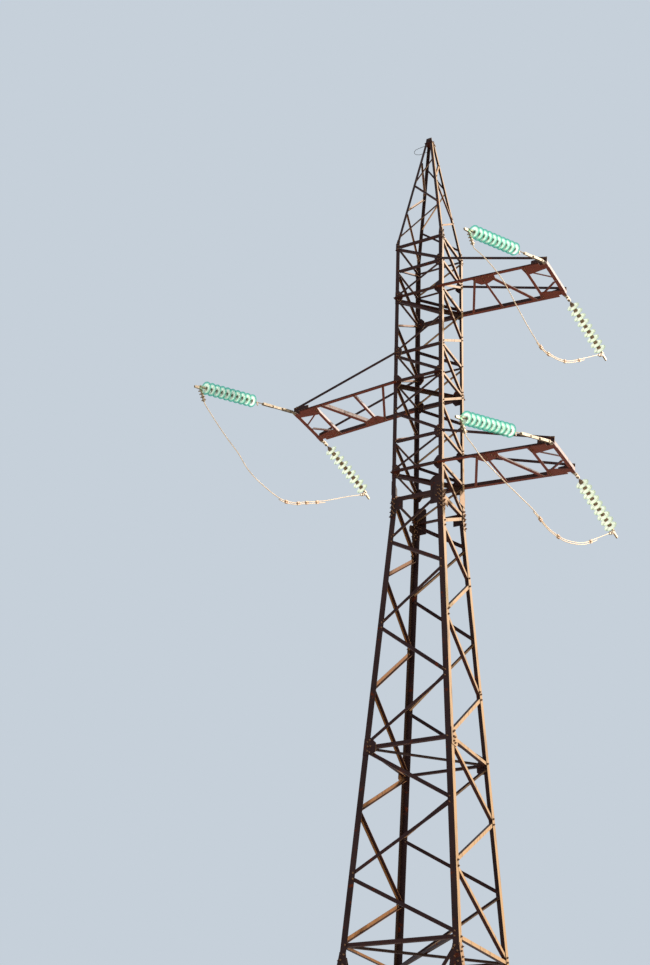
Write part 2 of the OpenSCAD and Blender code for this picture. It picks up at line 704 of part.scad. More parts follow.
// Fork round the lug, strap links, and the eye that enters the first cap
module tower_side(i, e) {
  lug_place(i, e) {
    translate([0, 0, -32]) cylinder(d = pin_d + 4, h = 64);
    for (z = [-32, 26]) translate([0, 0, z]) cylinder(d = pin_d + 18, h = 6, $fn = 6);
    for (s = [-1, 1]) translate([0, 0, s > 0 ? lug_t / 2 + seat + 0.5 : -lug_t / 2 - seat - 12.5])
      linear_extrude(12) {
        circle(d = 54);
        translate([0, -20]) square([fork_l - 8, 40]);
      }
    translate([fork_l - 32, -20, -lug_t / 2 - 10]) cube([30, 40, lug_t + 20]);
    rotate([90, 0, 0]) translate([fork_l, 0, -12]) cylinder(d = 46, h = 24);
  }
  chain_place(i, e) {
    n = straps(i, e);
    l = strap_l(e);
    for (j = [0:n]) translate([j * l, -28, 0]) rotate([-90, 0, 0])
      cylinder(d = 22, h = 56);
    for (j = [0:n]) for (y = [-30, 22]) translate([j * l, y, 0])
      rotate([-90, 0, 0]) cylinder(d = 36, h = 8, $fn = 6);
    for (j = [0:n - 1]) translate([j * l, 0, 0]) for (s = [-1, 1])
      flat_link(l, 52, 7, j % 2 == 0 ? s * 17 : s * 9.5);
    translate([n * l, 0, 0]) {
      rotate([90, 0, 0]) translate([0, 0, -9]) cylinder(d = 50, h = 18);
      rotate([0, 90, 0]) cylinder(d = pin_d, h = chain_l(i, e) - n * l + 14 - seat);
      if (e < 0) translate([rod_l - 60, -8, -70]) cube([26, 16, 80]);
    }
  }
}

// Place of a string's clamp bolt, worked out in the object's own frame
function end_l(e) = e < 0 ? 130 : 85;
function rot_z(a, p) = [p[0] * cos(a) - p[1] * sin(a),
  p[0] * sin(a) + p[1] * cos(a), p[2]];
function rot_y(a, p) = [p[0] * cos(a) + p[2] * sin(a), p[1],
  p[2] * cos(a) - p[0] * sin(a)];
function string_point(i, e, x) =
  rot_z(arm_turn[i], [body_w / 2, 0, arm_z[i]] + rot_y(arm_tilt,
    [arm_l - lug_in, (arm_turn[i] == 0 ? e : -e) * (arm_y + lug_reach),
      chord_z - lug_t / 2 + 1]
    + rot_z(string_turn(i, e), [fork_l, 0, 0]
      + rot_y(string_dip(i, e), [x, 0, 0]))));
function clamp_point(i, e) =
  string_point(i, e, chain_l(i, e) + discs_l(e) + end_l(e));

// Tension clamp: nose along the line, tail down towards the other clamp
function tail_dip(e) = e < 0 ? 55 : 30;
function tail_l(e) = e < 0 ? front_tail : back_tail;
function plan_turn(i) = atan2(clamp_point(i, 1)[1] - clamp_point(i, -1)[1],
  clamp_point(i, 1)[0] - clamp_point(i, -1)[0]);
module clamp_place(i, e)
  translate(clamp_point(i, e)) rotate([0, 0, plan_turn(i) + (e < 0 ? 0 : 180)])
    children();
// Middle of the wire's groove below the clamp bolt
groove = 34;
// Length of the nose, and of the open end that grips the line wire
nose_l = 150;
grip_l = 120;
// Clearance between the line wire and the open end, on the radius
grip_gap = 0.4;
function tail_end(i, e) = clamp_point(i, e)
  + rot_z(plan_turn(i) + (e < 0 ? 0 : 180),
    [tail_l(e) * cos(tail_dip(e)) - groove * sin(tail_dip(e)), 0,
      -tail_l(e) * sin(tail_dip(e)) - groove * cos(tail_dip(e))]);

module clamp_body(e) {
  a = tail_dip(e);
  b = e < 0 ? front_dip : back_dip;
  l = tail_l(e);
  rotate([90, 0, 0]) translate([0, 0, -9]) cylinder(d = 50, h = 18);
  difference() {
    rotate([90, 0, 0]) translate([0, 0, -16]) linear_extrude(32) polygon([
      [-nose_l * cos(b) - 20 * sin(b), 20 * cos(b) - nose_l * sin(b) - groove],
      [-nose_l * cos(b) + 20 * sin(b), -20 * cos(b) - nose_l * sin(b) - groove],
      [-20, -groove - 28], [20, -groove - 28],
      [l * cos(a) - (groove + 18) * sin(a), -l * sin(a) - (groove + 18) * cos(a)],
      [l * cos(a) - (groove - 18) * sin(a), -l * sin(a) - (groove - 18) * cos(a)],
      [22, -2], [-22, -2]]);
    translate([-(nose_l + 1) * cos(b), 0, -(nose_l + 1) * sin(b) - groove])
      rotate([0, 90 - b, 0]) cylinder(d = wire_d + 2 * grip_gap, h = grip_l + 1);
  }
  rotate([0, a, 0]) for (x = [82:62:l - 20]) translate([x, 0, -groove]) {
    for (s = [-1, 1]) translate([0, s * 21, -34]) cylinder(d = 11, h = 78);
    translate([-14, -30, 16]) cube([28, 60, 12]);
    translate([-12, -30, -30]) cube([24, 60, 10]);
  }
}

// Socket eye on the last pin, and the clamp on its bolt
module line_side(i, e) {
  g = end_l(e);
  chain_place(i, e) translate([chain_l(i, e) + discs_l(e), 0, 0]) {
    turned([[0, pin_d / 2 + seat], [0, pin_d / 2 + 9], [7, pin_d / 2 + 14],
      [30, pin_d / 2 + 14], [42, 14], [48, 14], [48, 0], [14, 0],
      [14, pin_d / 2 + seat]]);
    for (s = [-1, 1]) translate([0, s * 17, 0]) {
      translate([36, -3.5, -18]) cube([g - 36, 7, 36]);
      translate([g, 3.5, 0]) rotate([90, 0, 0]) cylinder(d = 44, h = 7);
    }
    translate([36, -20.5, -18]) cube([16, 41, 36]);
    translate([g, -30, 0]) rotate([-90, 0, 0]) cylinder(d = 22, h = 60);
  }
  clamp_place(i, e) clamp_body(e);
}

module fittings(i) color("#c9bda6") for (e = [-1, 1]) {
  tower_side(i, e);
  line_side(i, e);
}
module upper_fittings() fittings(0);
module left_fittings() fittings(1);
module lower_fittings() fittings(2);

// Jumpers. Each route lists the distance from the front tail's end towards
// the back one, the drop below it, and the bow out of the clamps' plane.
routes = [
  [[330, 170, 80], [740, 400, 150], [1090, 730, 190], [1440, 990, 200],
    [1820, 1190, 200], [2120, 1220, 180], [2440, 1150, 160], [2790, 1030, 130],
    [3260, 790, 80], [4100, 210, 10], [4380, 15, 0]],
  [[280, 230, 10], [630, 470, 30], [1000, 670, 40], [1280, 870, 40],
    [1650, 1000, 40], [2250, 1080, 40], [2670, 990, 30], [3000, 830, 20],
    [3240, 710, 20], [3690, 480, 10], [4470, 20, 0]],
  [[160, 160, 40], [420, 360, 100], [970, 560, 170], [1370, 660, 200],
    [1800, 730, 200], [2250, 840, 180], [2490, 855, 170], [2900, 800, 130],
    [3350, 660, 90], [3810, 460, 50], [4330, 140, 10]]];
function route_points(i) = let (a = tail_end(i, -1), b = tail_end(i, 1),
    t = plan_turn(i), d = tail_dip(-1), f = tail_dip(1))
  concat([a + rot_z(t, [seat * cos(d), 0, -seat * sin(d)]),
      a + rot_z(t, [60 * cos(d), 0, -60 * sin(d)])],
    [for (p = routes[i]) a + rot_z(t, [p[0], -p[2], -p[1]])],
    [b - rot_z(t, [60 * cos(f), 0, 60 * sin(f)]),
      b - rot_z(t, [seat * cos(f), 0, seat * sin(f)])]);

// Points of a smooth line through the route, three to each span
function smooth(p, i, u) = let (a = p[max(i - 1, 0)], b = p[i], c = p[i + 1],
    d = p[min(i + 2, len(p) - 1)])
  0.5 * (2 * b + (c - a) * u + (2 * a - 5 * b + 4 * c - d) * u * u
    + (3 * b - a - 3 * c + d) * u * u * u);
function sweep_points(p) = let (n = len(p) - 1)
  concat([p[0], p[1]],
    [for (i = [1:n - 2]) for (u = [1 / 3, 2 / 3, 1]) smooth(p, i, u)], [p[n]]);
function unit(v) = v / norm(v);
// Heading of a line at one of its points
function heading(p, i) = let (m = len(p) - 1) i == 0 ? unit(p[1] - p[0])
  : i == m ? unit(p[m] - p[m - 1])
  : unit(unit(p[i + 1] - p[i]) + unit(p[i] - p[i - 1]));

// A tube of eight sides along the points, square to the line at its ends;
// side is a direction that stays square to the line all the way
module tube(p, d, side) {
  m = len(p);
  verts = [for (i = [0:m - 1])
    let (t = heading(p, i), v = unit(cross(side, t)), w = cross(t, v))
    for (j = [0:7]) p[i] + d / 2 * (cos(45 * j) * w + sin(45 * j) * v)];
  polyhedron(verts, concat([[for (j = [0:7]) j], [for (j = [7:-1:0]) (m - 1) * 8 + j]],
    [for (i = [0:m - 2]) for (j = [0:7])
      [i * 8 + j, (i + 1) * 8 + j, (i + 1) * 8 + (j + 1) % 8, i * 8 + (j + 1) % 8]]));
}

function jumper_side(i) = rot_z(plan_turn(i) - 90, [1, 0, 0]);
module jumper(i) color("#d9c3a0")
  tube(sweep_points(route_points(i)), wire_d, jumper_side(i));
module upper_jumper() jumper(0);
module left_jumper() jumper(1);
module lower_jumper() jumper(2);

// Clamps that join the two wires of a jumper, on the spans listed
clamp_spans = [[6, 7, 9, 10], [7, 8, 9, 10], [6, 8, 11]];
// Distance between the two wires in a clamp
lap_off = 34;
module jumper_clamps(i) color("#8a7c68") {
  p = sweep_points(route_points(i));
  for (k = clamp_spans[i]) {
    j = 3 * k - 1;
    v = p[j + 1] - p[j];
    translate((p[j] + p[j + 1]) / 2) rotate([0, 0, atan2(v[1], v[0])])
      rotate([0, -atan2(v[2], norm([v[0], v[1]])), 0]) joint_clamp();
  }
}

module joint_clamp() difference() {
  union() {
    translate([-42, -18, -lap_off - 16]) cube([84, 36, lap_off + 32]);
    for (x = [-22, 22]) translate([x, -30, -lap_off / 2]) rotate([-90, 0, 0]) {
      cylinder(d = 12, h = 60);
      cylinder(d = 22, h = 13, $fn = 6);
    }
  }
  for (z = [0, -lap_off]) translate([-60, 0, z]) rotate([0, 90, 0])
    cylinder(d = wire_d + 2, h = 120);
}
module upper_jumper_clamps() jumper_clamps(0);
module left_jumper_clamps() jumper_clamps(1);
module lower_jumper_clamps() jumper_clamps(2);

// Loop of wire tied at the peak, from the front leg round to the back one
loop_rise = peak_h - 85;
loop_y = peak_half(loop_rise) + seat + loop_d / 2;
loop_pts = [[0, -1, 0], [-60, -1, 0], [-150, -1, -5], [-230, -0.92, -10],
  [-290, -0.55, -14], [-310, 0, -16], [-290, 0.55, -14], [-230, 0.92, -10],
  [-150, 1, -5], [-60, 1, 0], [0, 1, 0]];
module peak_wire_loop() color("#4c4a48")
  tube([for (p = loop_pts) [p[0] - peak_w / 2 + 10, p[1] * loop_y,
    p[2] + top_z + loop_rise]], loop_d, [0, 0, 1]);

foot_shoes();
stand_legs();
stand_face_front();
stand_face_right();
stand_face_back();
stand_face_left();
splice_plates();
lower_legs();
lower_face_front();
lower_face_right();
lower_face_back();
lower_face_left();
diaphragms();
waist_splices();
upper_legs();
upper_face_front();
upper_face_right();
upper_face_back();
upper_face_left();
arm_level_diaphragms();
peak_legs();
peak_bracing();
peak_head();
upper_arm_frame();
upper_arm_ties();
left_arm_frame();
left_arm_ties();
lower_arm_frame();
lower_arm_ties();
upper_glass_discs();
left_glass_discs();
lower_glass_discs();
upper_caps();
left_caps();
lower_caps();
upper_fittings();
left_fittings();
lower_fittings();
upper_jumper();
left_jumper();
lower_jumper();
upper_jumper_clamps();
left_jumper_clamps();
lower_jumper_clamps();
peak_wire_loop();
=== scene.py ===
# %% [markdown]
# # A lattice transmission pylon
# The structure, from the feet to the wire loop at the peak, comes from the
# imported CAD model. This lesson gives it a camera, the hanging jumper wires,
# its bolts, and materials that show how each piece was made and has aged.

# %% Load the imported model
import bpy
import json
import math
import numpy as np
from mathutils import Matrix, Vector
from mathutils.bvhtree import BVHTree


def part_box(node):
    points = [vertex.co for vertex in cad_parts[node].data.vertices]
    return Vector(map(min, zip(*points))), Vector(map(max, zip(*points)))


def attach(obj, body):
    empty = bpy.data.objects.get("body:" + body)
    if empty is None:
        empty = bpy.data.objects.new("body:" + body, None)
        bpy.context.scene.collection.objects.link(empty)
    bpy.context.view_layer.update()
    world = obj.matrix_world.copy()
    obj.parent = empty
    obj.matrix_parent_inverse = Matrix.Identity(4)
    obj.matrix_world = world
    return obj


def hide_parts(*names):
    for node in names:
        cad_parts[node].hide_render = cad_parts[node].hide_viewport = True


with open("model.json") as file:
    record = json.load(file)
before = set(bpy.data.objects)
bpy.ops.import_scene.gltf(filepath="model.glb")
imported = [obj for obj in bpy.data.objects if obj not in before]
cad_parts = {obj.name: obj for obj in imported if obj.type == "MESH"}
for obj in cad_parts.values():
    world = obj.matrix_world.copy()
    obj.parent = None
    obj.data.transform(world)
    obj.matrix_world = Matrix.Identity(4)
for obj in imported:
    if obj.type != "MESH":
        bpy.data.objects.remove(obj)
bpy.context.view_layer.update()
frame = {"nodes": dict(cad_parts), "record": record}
slot_of = {s["node"]: s["material_slot"] for s in frame["record"]["subparts"]}

# %% [markdown]
# ## Camera
# The pylon was seen from near the ground, about 26 m away, looking up at
# its straight upper body. A camera can be placed by rotation angles, but
# three direction vectors say more directly where right, up and forward are.

# %% Camera
EYE = Vector((10.807, -23.517, 1.193))
RIGHT = Vector((0.88337, 0.46717, 0.03756))
UP = Vector((0.20177, -0.4514, 0.86921))
LENS_MM = 57.55
SENSOR_MM = 36.0
FARTHEST_M = 300.0

FORWARD = UP.cross(RIGHT).normalized()
camera_data = bpy.data.cameras.new("camera")
camera_data.lens = LENS_MM
camera_data.sensor_width = SENSOR_MM
camera_data.clip_end = FARTHEST_M
camera = bpy.data.objects.new("camera", camera_data)
camera.matrix_world = Matrix.Translation(EYE) @ Matrix(
    (RIGHT.normalized(), UP.normalized(), -FORWARD)).transposed().to_4x4()
bpy.context.scene.collection.objects.link(camera)
bpy.context.scene.camera = camera
print("camera looks along", [round(v, 3) for v in FORWARD])

# %% [markdown]
# ## Jumper wires
# A jumper carries the current round an arm, from the clamp of the front
# string to the clamp of the back one. It is a stiff aluminium strand, so it
# leaves each clamp in line with its tail and sags between. Its route could
# come from a catenary, but a strand this stiff doesn't hang in one, so the
# points are the ones that the CAD tube follows.

# %% Routes of the jumpers
WIRE_D = 0.017
LAP_GAP = 0.034  # from groove to groove in a lap clamp
ROUTES = {
    "upper": [
        (2.109, -2.6838, 19.0453), (2.1153, -2.6501, 18.9964),
        (2.2481, -2.3742, 18.8756), (2.3922, -1.984, 18.6456),
        (2.4957, -1.6473, 18.3156), (2.5698, -1.3051, 18.0556),
        (2.6395, -0.9315, 17.8556), (2.6749, -0.633, 17.8256),
        (2.7139, -0.3147, 17.8956), (2.7487, 0.0348, 18.0156),
        (2.7858, 0.506, 18.2556), (2.8711, 1.3446, 18.8356),
        (2.9126, 1.6217, 19.0306), (2.9416, 1.7768, 19.1386),
        (2.9511, 1.8276, 19.1685)],
    "left": [
        (-3.3285, -2.9711, 16.9138), (-3.3221, -2.9375, 16.8649),
        (-3.2664, -2.6981, 16.6841), (-3.1814, -2.358, 16.4441),
        (-3.1024, -1.9964, 16.2441), (-3.0501, -1.7213, 16.0441),
        (-2.9809, -1.3578, 15.9141), (-2.8688, -0.7684, 15.8341),
        (-2.8001, -0.3539, 15.9241), (-2.7483, -0.0279, 16.0841),
        (-2.7035, 0.2079, 16.2041), (-2.6292, 0.6518, 16.4341),
        (-2.4932, 1.42, 16.8941), (-2.4285, 1.7605, 17.0859),
        (-2.4188, 1.8113, 17.1157)],
    "lower": [
        (2.0337, -2.9485, 14.8617), (2.0401, -2.9149, 14.8128),
        (2.1031, -2.7991, 14.702), (2.211, -2.5551, 14.502),
        (2.3834, -2.0281, 14.302), (2.4882, -1.641, 14.202),
        (2.5693, -1.2187, 14.132), (2.6344, -0.7729, 14.022),
        (2.6698, -0.5354, 14.007), (2.7078, -0.1252, 14.062),
        (2.7533, 0.3243, 14.202), (2.8007, 0.7836, 14.402),
        (2.8595, 1.3018, 14.722), (2.9404, 1.777, 15.0286),
        (2.9502, 1.8278, 15.0585)]}
# Places along the route between which the second wire lies in the clamps
LAPS = {"upper": (6, 10.75), "left": (7, 11), "lower": (6, 12)}
print("routes", {name: len(route) for name, route in ROUTES.items()})

# %% [markdown]
# ## A line through the points
# A polyline would show a corner at each point of the route. A cubic from
# one point to the next, which leaves and meets each in the direction of its
# neighbours, is smooth. In the clamps a short span meets a long one, so the
# pull of that direction is held back there, or the wire would kink.


# %% Smooth line
MOST_PULL = 1.5


def smooth_line(points, steps):
    """A smooth line through the points, with so many steps to a span."""
    p = [Vector(v) for v in points]
    line = [p[0]]
    for i in range(len(p) - 1):
        b, c = p[i], p[i + 1]
        leave = (c - p[max(i - 1, 0)]) / 2
        meet = (p[min(i + 2, len(p) - 1)] - b) / 2
        most = MOST_PULL * (c - b).length
        leave *= min(1, most / leave.length)
        meet *= min(1, most / meet.length)
        for j in range(1, steps + 1):
            u = j / steps
            line.append((2 * u ** 3 - 3 * u ** 2 + 1) * b + (3 * u ** 2 - 2 * u ** 3) * c
                        + (u ** 3 - 2 * u ** 2 + u) * leave + (u ** 3 - u ** 2) * meet)
    return line


# %% [markdown]
# ## A tube of rings
# A curve with a bevel would do for a plain cable. A mesh tube is chosen
# here, because its UVs tell how far round and how far along a place lies,
# and the strand's twist is drawn from those. It is a row of rings, each
# turned as little as possible from the one before, with a face at each end.
# Bolts are made of rings too, so the faces have a function of their own.


# %% New piece from rings
def ring_faces(rings, sides):
    """Faces of a closed form of so many rings, each with so many corners."""
    faces = [(i * sides + j, i * sides + (j + 1) % sides,
              (i + 1) * sides + (j + 1) % sides, (i + 1) * sides + j)
             for i in range(rings - 1) for j in range(sides)]
    last = (rings - 1) * sides
    return faces + [tuple(reversed(range(sides))), tuple(range(last, last + sides))]


def new_piece(name, vertices, faces):
    """An object with a new mesh of these vertices and faces, in the scene."""
    mesh = bpy.data.meshes.new(name)
    mesh.from_pydata([tuple(v) for v in vertices], [], faces)
    piece = bpy.data.objects.new(name, mesh)
    bpy.context.scene.collection.objects.link(piece)
    return piece


# %% Mesh tube
def tube(name, line, radius, sides=12):
    """A closed tube along a line, with UVs in turns round and metres along."""
    vertices = []
    side = Vector((1.0, 0.0, 0.0))
    for i, point in enumerate(line):
        ahead = line[min(i + 1, len(line) - 1)] - line[max(i - 1, 0)]
        ahead.normalize()
        side = (side - side.dot(ahead) * ahead).normalized()
        across = ahead.cross(side)
        vertices += [point + radius * (math.cos(t) * side + math.sin(t) * across)
                     for t in (2 * math.pi * j / sides for j in range(sides))]
    lengths = [0.0]
    for a, b in zip(line, line[1:]):
        lengths.append(lengths[-1] + (b - a).length)
    uvs = [(v / sides, lengths[i + w]) for i in range(len(line) - 1)
           for j in range(sides) for v, w in ((j, 0), (j + 1, 0), (j + 1, 1), (j, 1))]
    uvs += [(0.0, 0.0)] * (2 * sides)
    piece = new_piece(name, vertices, ring_faces(len(line), sides))
    layer = piece.data.uv_layers.new(name="strand")
    layer.data.foreach_set("uv", [c for uv in uvs for c in uv])
    piece.data.polygons.foreach_set("use_smooth", [True] * len(piece.data.polygons))
    return piece, lengths[-1]


# %% [markdown]
# ## Hanging the jumpers
# Each jumper is made of two lengths of strand. Where they meet they lie side
# by side in a few bolted clamps, the second one under the first by the width
# between the clamps' two grooves. It could have points of its own, but
# taken from the first it stays parallel. The whole route is seen, from
# clamp to clamp, so that is the cord's real length, and no coil is needed.

# %% Jumpers and the wires that lie beside them
STEPS = 8
wires = []
for name, route in ROUTES.items():
    line = smooth_line(route, STEPS)
    jumper, length = tube(name + "_jumper_wire", line, WIRE_D / 2)
    first, last = (int(STEPS * i) for i in LAPS[name])
    level = (line[-1] - line[0]).cross(Vector((0, 0, 1))).normalized()
    beside = [line[i] + LAP_GAP * (line[i + 1] - line[i - 1]).cross(level).normalized()
              for i in range(first, last + 1)]
    lap, _ = tube(name + "_jumper_lap", beside, WIRE_D / 2)
    for piece in (jumper, lap):
        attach(piece, "root")
    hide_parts(name + "_jumper")
    wires += [jumper, lap]
    print(name, "jumper", round(length, 3), "m, the lap lies",
          round(line[first].z - beside[0].z, 4), "m lower")

# %% [markdown]
# ## Small tools for the materials
# Colours are chosen as they look on screen, so one function turns a hex
# value into the linear colour that a shader needs. Another adds one node
# with its settings and links, which keeps each material short.


# %% Colour from hex
def hex_rgb(text):
    """Linear colour of an sRGB hex value such as "#9fd8b8"."""
    srgb = [int(text[i:i + 2], 16) / 255 for i in (1, 3, 5)]
    linear = [v / 12.92 if v <= 0.04045 else ((v + 0.055) / 1.055) ** 2.4
              for v in srgb]
    return (*linear, 1.0)


print("mid grey is", [round(v, 3) for v in hex_rgb("#808080")])


# %% Add a node
def add_node(tree, kind, inputs=None, out=0, **settings):
    """Add one node, set or link its inputs, and return one of its outputs."""
    node = tree.nodes.new("ShaderNode" + kind)
    for name, value in settings.items():
        setattr(node, name, value)
    for name, value in (inputs or {}).items():
        if isinstance(value, bpy.types.NodeSocket):
            tree.links.new(value, node.inputs[name])
        else:
            node.inputs[name].default_value = value
    return node.outputs[out] if len(node.outputs) else node


# %% Start a material
def new_material(name):
    """An empty material, its tree and the object's own coordinates."""
    material = bpy.data.materials.new(name)
    material.use_nodes = True
    tree = material.node_tree
    tree.nodes.clear()
    return material, tree, add_node(tree, "TexCoord", out="Object")


# %% [markdown]
# ## Blotches and coats
# Most finishes here are coats over coats: paint, faded paint, dirt, rust. A
# coat shows where a noise is above a level, and the noise's scale comes from
# the real size of its blotches in millimetres. Stretched upright, the same
# noise gives the streaks that rain draws. A picture could be wrapped round
# each bar instead, but noise in the object's own space needs no UVs and
# runs on from one piece to the next.


# %% Blotches
def blotches(tree, place, size_mm, low, high, strength=1.0, fine=5.0, upright=1.0):
    """0 below the noise level low, rising to strength at high, in soft blotches."""
    spread = add_node(tree, "Mapping", {"Vector": place, "Scale": (1, 1, upright)})
    field = add_node(tree, "TexNoise", {"Vector": spread, "Scale": 1000 / size_mm,
                                        "Detail": fine, "Roughness": 0.6})
    return add_node(tree, "MapRange", {"Value": field, "From Min": low,
                                       "From Max": high, "To Max": strength},
                    interpolation_type="SMOOTHSTEP")


# %% Coats
# A Mix node of colours has them at inputs 6 and 7, and its result at output 2
def coats(tree, base, *layers):
    """Colour of a base under layers, each a mask and the colour of its coat."""
    colour = base
    for mask, coat in layers:
        colour = add_node(tree, "Mix", {0: mask, 6: colour, 7: coat}, out=2,
                          data_type="RGBA")
    return colour


# %% [markdown]
# ## Weathered paint on rolled angles
# The angles were hot rolled, cut and punched, then brush painted red-brown.
# Brushed paint over mill scale is dull and uneven, with no sharp gloss. The
# sides that face the sun, at +X, are given a pale tan, a painted sunlit tone.
# Undersides are given a redder colour, partly paint that the sun has not
# faded and partly painted warm light bounced up from the ground, and the
# other sides keep the dark paint. Rust comes through where the coat is thin,
# and dark streaks run down. One function serves legs, bracing, plates and
# feet, so that they belong together but differ a little.

# %% Sizes of the marks on the paint
LAP_MM = 900  # how far a painter reaches before the next lap of the brush
SUNLIT_PATCH_MM = 300  # patches over which the painted sunlit tone comes and goes
RUST_MM = 130  # a spot of rust and the stain round it
DRIP_MM = 60  # the width of what one drip leaves
DRIP_SHAPE = 0.06  # a drip runs about sixteen times as far as it is wide
BRUSH_MM = 12  # brush marks are about 1 mm wide, and drawn coarser to show
BRUSH_RELIEF_M = 0.0004
print("noise scales", [round(1000 / v, 1) for v in (LAP_MM, RUST_MM, DRIP_MM, BRUSH_MM)])


# %% Sides of a member
def sunny_and_below(tree, sunlit_patches):
    """Masks of the sides towards the sun, at +X, in patches, for a painted sunlit tone,
    and of undersides.
    """
    facing = add_node(tree, "NewGeometry", out="Normal")
    sunward = add_node(tree, "SeparateXYZ", {"Vector": facing}, out="X")
    upward = add_node(tree, "SeparateXYZ", {"Vector": facing}, out="Z")
    sunny = add_node(tree, "MapRange", {"Value": sunward, "From Min": 0.3,
                                        "From Max": 0.75, "To Max": sunlit_patches})
    # Undersides get a redder colour: paint the sun has not faded, and painted warm light
    # bounced from the ground
    below = add_node(tree, "MapRange", {"Value": upward, "From Min": -0.3,
                                        "From Max": -0.8})
    return sunny, below


# %% Splashed mud
def muddy(tree, place, colour, faded, mud_m):
    """Colour under dried mud, whose uneven edge is about mud_m above the ground."""
    height = add_node(tree, "SeparateXYZ", {"Vector": place}, out="Z")
    edge = add_node(tree, "Math", {0: faded, 1: -mud_m, 2: height},
                    operation="MULTIPLY_ADD")
    splash = add_node(tree, "MapRange", {"Value": edge, "From Min": mud_m / 2,
                                         "From Max": -mud_m / 2, "To Max": 0.8})
    return coats(tree, colour, (splash, hex_rgb("#8d7a62")))


# %% Painted steel
def painted_steel(name, paint, dull, sunlit_colour, underside_and_bounce, rust_level, mud_m=0.0,
                  inner=None):
    """Dull brushed paint with a painted sunlit tone, red below, rusting through.

    On members of the left half, which the sun reaches only through the lattice,
    the painted sunlit tone is the darker colour inner instead, a painted shade,
    where that is given.
    """
    material, tree, place = new_material(name)
    sunlit_colour = hex_rgb(sunlit_colour)
    # On the left half the painted sunlit tone gives way to a painted shade
    if inner:
        across = add_node(tree, "SeparateXYZ", {"Vector": place}, out="X")
        shaded = add_node(tree, "MapRange", {"Value": across, "From Min": 0.05,
                                             "From Max": -0.05})
        sunlit_colour = coats(tree, sunlit_colour, (shaded, hex_rgb(inner)))
    faded = blotches(tree, place, LAP_MM, 0.35, 0.65)
    streaks = blotches(tree, place, DRIP_MM, 0.50, 0.72, 0.6, upright=DRIP_SHAPE)
    rusty = blotches(tree, place, RUST_MM, rust_level, rust_level + 0.07, fine=9)
    brushed = blotches(tree, place, BRUSH_MM, 0.2, 0.8, fine=3)
    sunny, below = sunny_and_below(tree, blotches(tree, place, SUNLIT_PATCH_MM, 0.10, 0.4))
    # Paint with painted light: a sunlit tone on the sides facing +X and a redder
    # underside
    colour = coats(tree, hex_rgb(paint), (faded, hex_rgb(dull)),
                   (below, hex_rgb(underside_and_bounce)), (rusty, hex_rgb("#6e3018")),
                   (sunny, sunlit_colour), (streaks, hex_rgb("#2a1815")))
    if mud_m > 0:
        colour = muddy(tree, place, colour, faded, mud_m)
    rough = add_node(tree, "MapRange", {"Value": rusty, "To Min": 0.5, "To Max": 0.85})
    height = add_node(tree, "Math", {0: brushed, 1: rusty}, operation="ADD")
    relief = add_node(tree, "Bump", {"Height": height, "Distance": BRUSH_RELIEF_M})
    shader = add_node(tree, "BsdfPrincipled", {
        "Base Color": colour, "Roughness": rough, "Specular IOR Level": 0.15,
        "Normal": relief})
    add_node(tree, "OutputMaterial", {"Surface": shader})
    return material


# %% [markdown]
# ## Steel of each kind of member
# One finish for all members would do for a drawing, but here each kind gets
# its own painted light. The sun reaches the far bracing only through the
# lattice, and the inner bars hardly at all, so their painted sunlit tone is
# darker, a painted shade. The arms stand free in it, and theirs is the
# palest. Each finish lists four colours: the paint, the paint where it has
# faded, its painted sunlit tone, and its underside, which is partly a
# painted warm bounce from the ground. Then comes the level of noise above
# which rust shows.

# %% Steel of legs, plates and feet
# Third colour: painted sunlit tone; fourth: underside with painted bounce; inner:
# painted shade on the left half
SURFACES = {
    "leg_steel": painted_steel("brush_painted_angle_legs", "#321f1e", "#402926",
                               "#d6a874", "#542618", 0.61, inner="#50382a"),
    "bracing_steel": painted_steel("brush_painted_angle_bracing", "#331e1d", "#432925",
                                   "#d4a26d", "#5e2a1a", 0.60),
    "plate_steel": painted_steel("brush_painted_sheared_plate", "#2e1c1b", "#3c2623",
                                 "#cd9e6f", "#522617", 0.60, inner="#50382a"),
    "foot_steel": painted_steel("brush_painted_shoe_plate", "#4a302a", "#60443a",
                                "#c9966a", "#5c2f22", 0.56, mud_m=0.12)}
print("steel", list(SURFACES))

# %% Steel of the bracing, by its place
# The darker sunlit tone of the far and inner bracing is painted shade, and the arms'
# pale one a painted sunlit tone
BRACING = {
    "right": painted_steel("brush_painted_sunny_bracing", "#331e1d", "#432925",
                           "#d8aa78", "#46241a", 0.60),
    "left": painted_steel("brush_painted_far_bracing", "#331e1d", "#432925",
                          "#a8703d", "#3c211b", 0.60),
    "inside": painted_steel("brush_painted_inner_bracing", "#331e1d", "#432925",
                            "#50382a", "#3c211b", 0.60),
    "arm": painted_steel("brush_painted_arm_angles", "#331e1d", "#432925",
                         "#e6cbbb", "#74331f", 0.60)}
print("bracing", list(BRACING))

# %% [markdown]
# ## Pressed glass
# A disc is toughened soda-lime glass, pressed in a mould, with a green tint.
# Its ribs and a film of dust scatter most of the light, so with the sun
# behind it a disc glows milky white round its cap. Towards the rim the film
# is thin and the eye passes through more glass, so the green deepens. Real
# refraction through nine ribbed discs in a row needs many bounces and comes
# out dark. So a milky skin is mixed with a clear green tint that doesn't
# bend the light, and most of the sunlight passes through.


# %% Strings of an arm
def strings_of(arm):
    """Corner points of the discs of an arm's front string and of its back string."""
    mesh = frame["nodes"][arm + "_glass_discs"].data
    points = np.array([v.co for v in mesh.vertices])
    depth = np.sort(points[:, 1])
    front = points[:, 1] <= depth[np.argmax(np.diff(depth))]
    return points[front], points[~front]


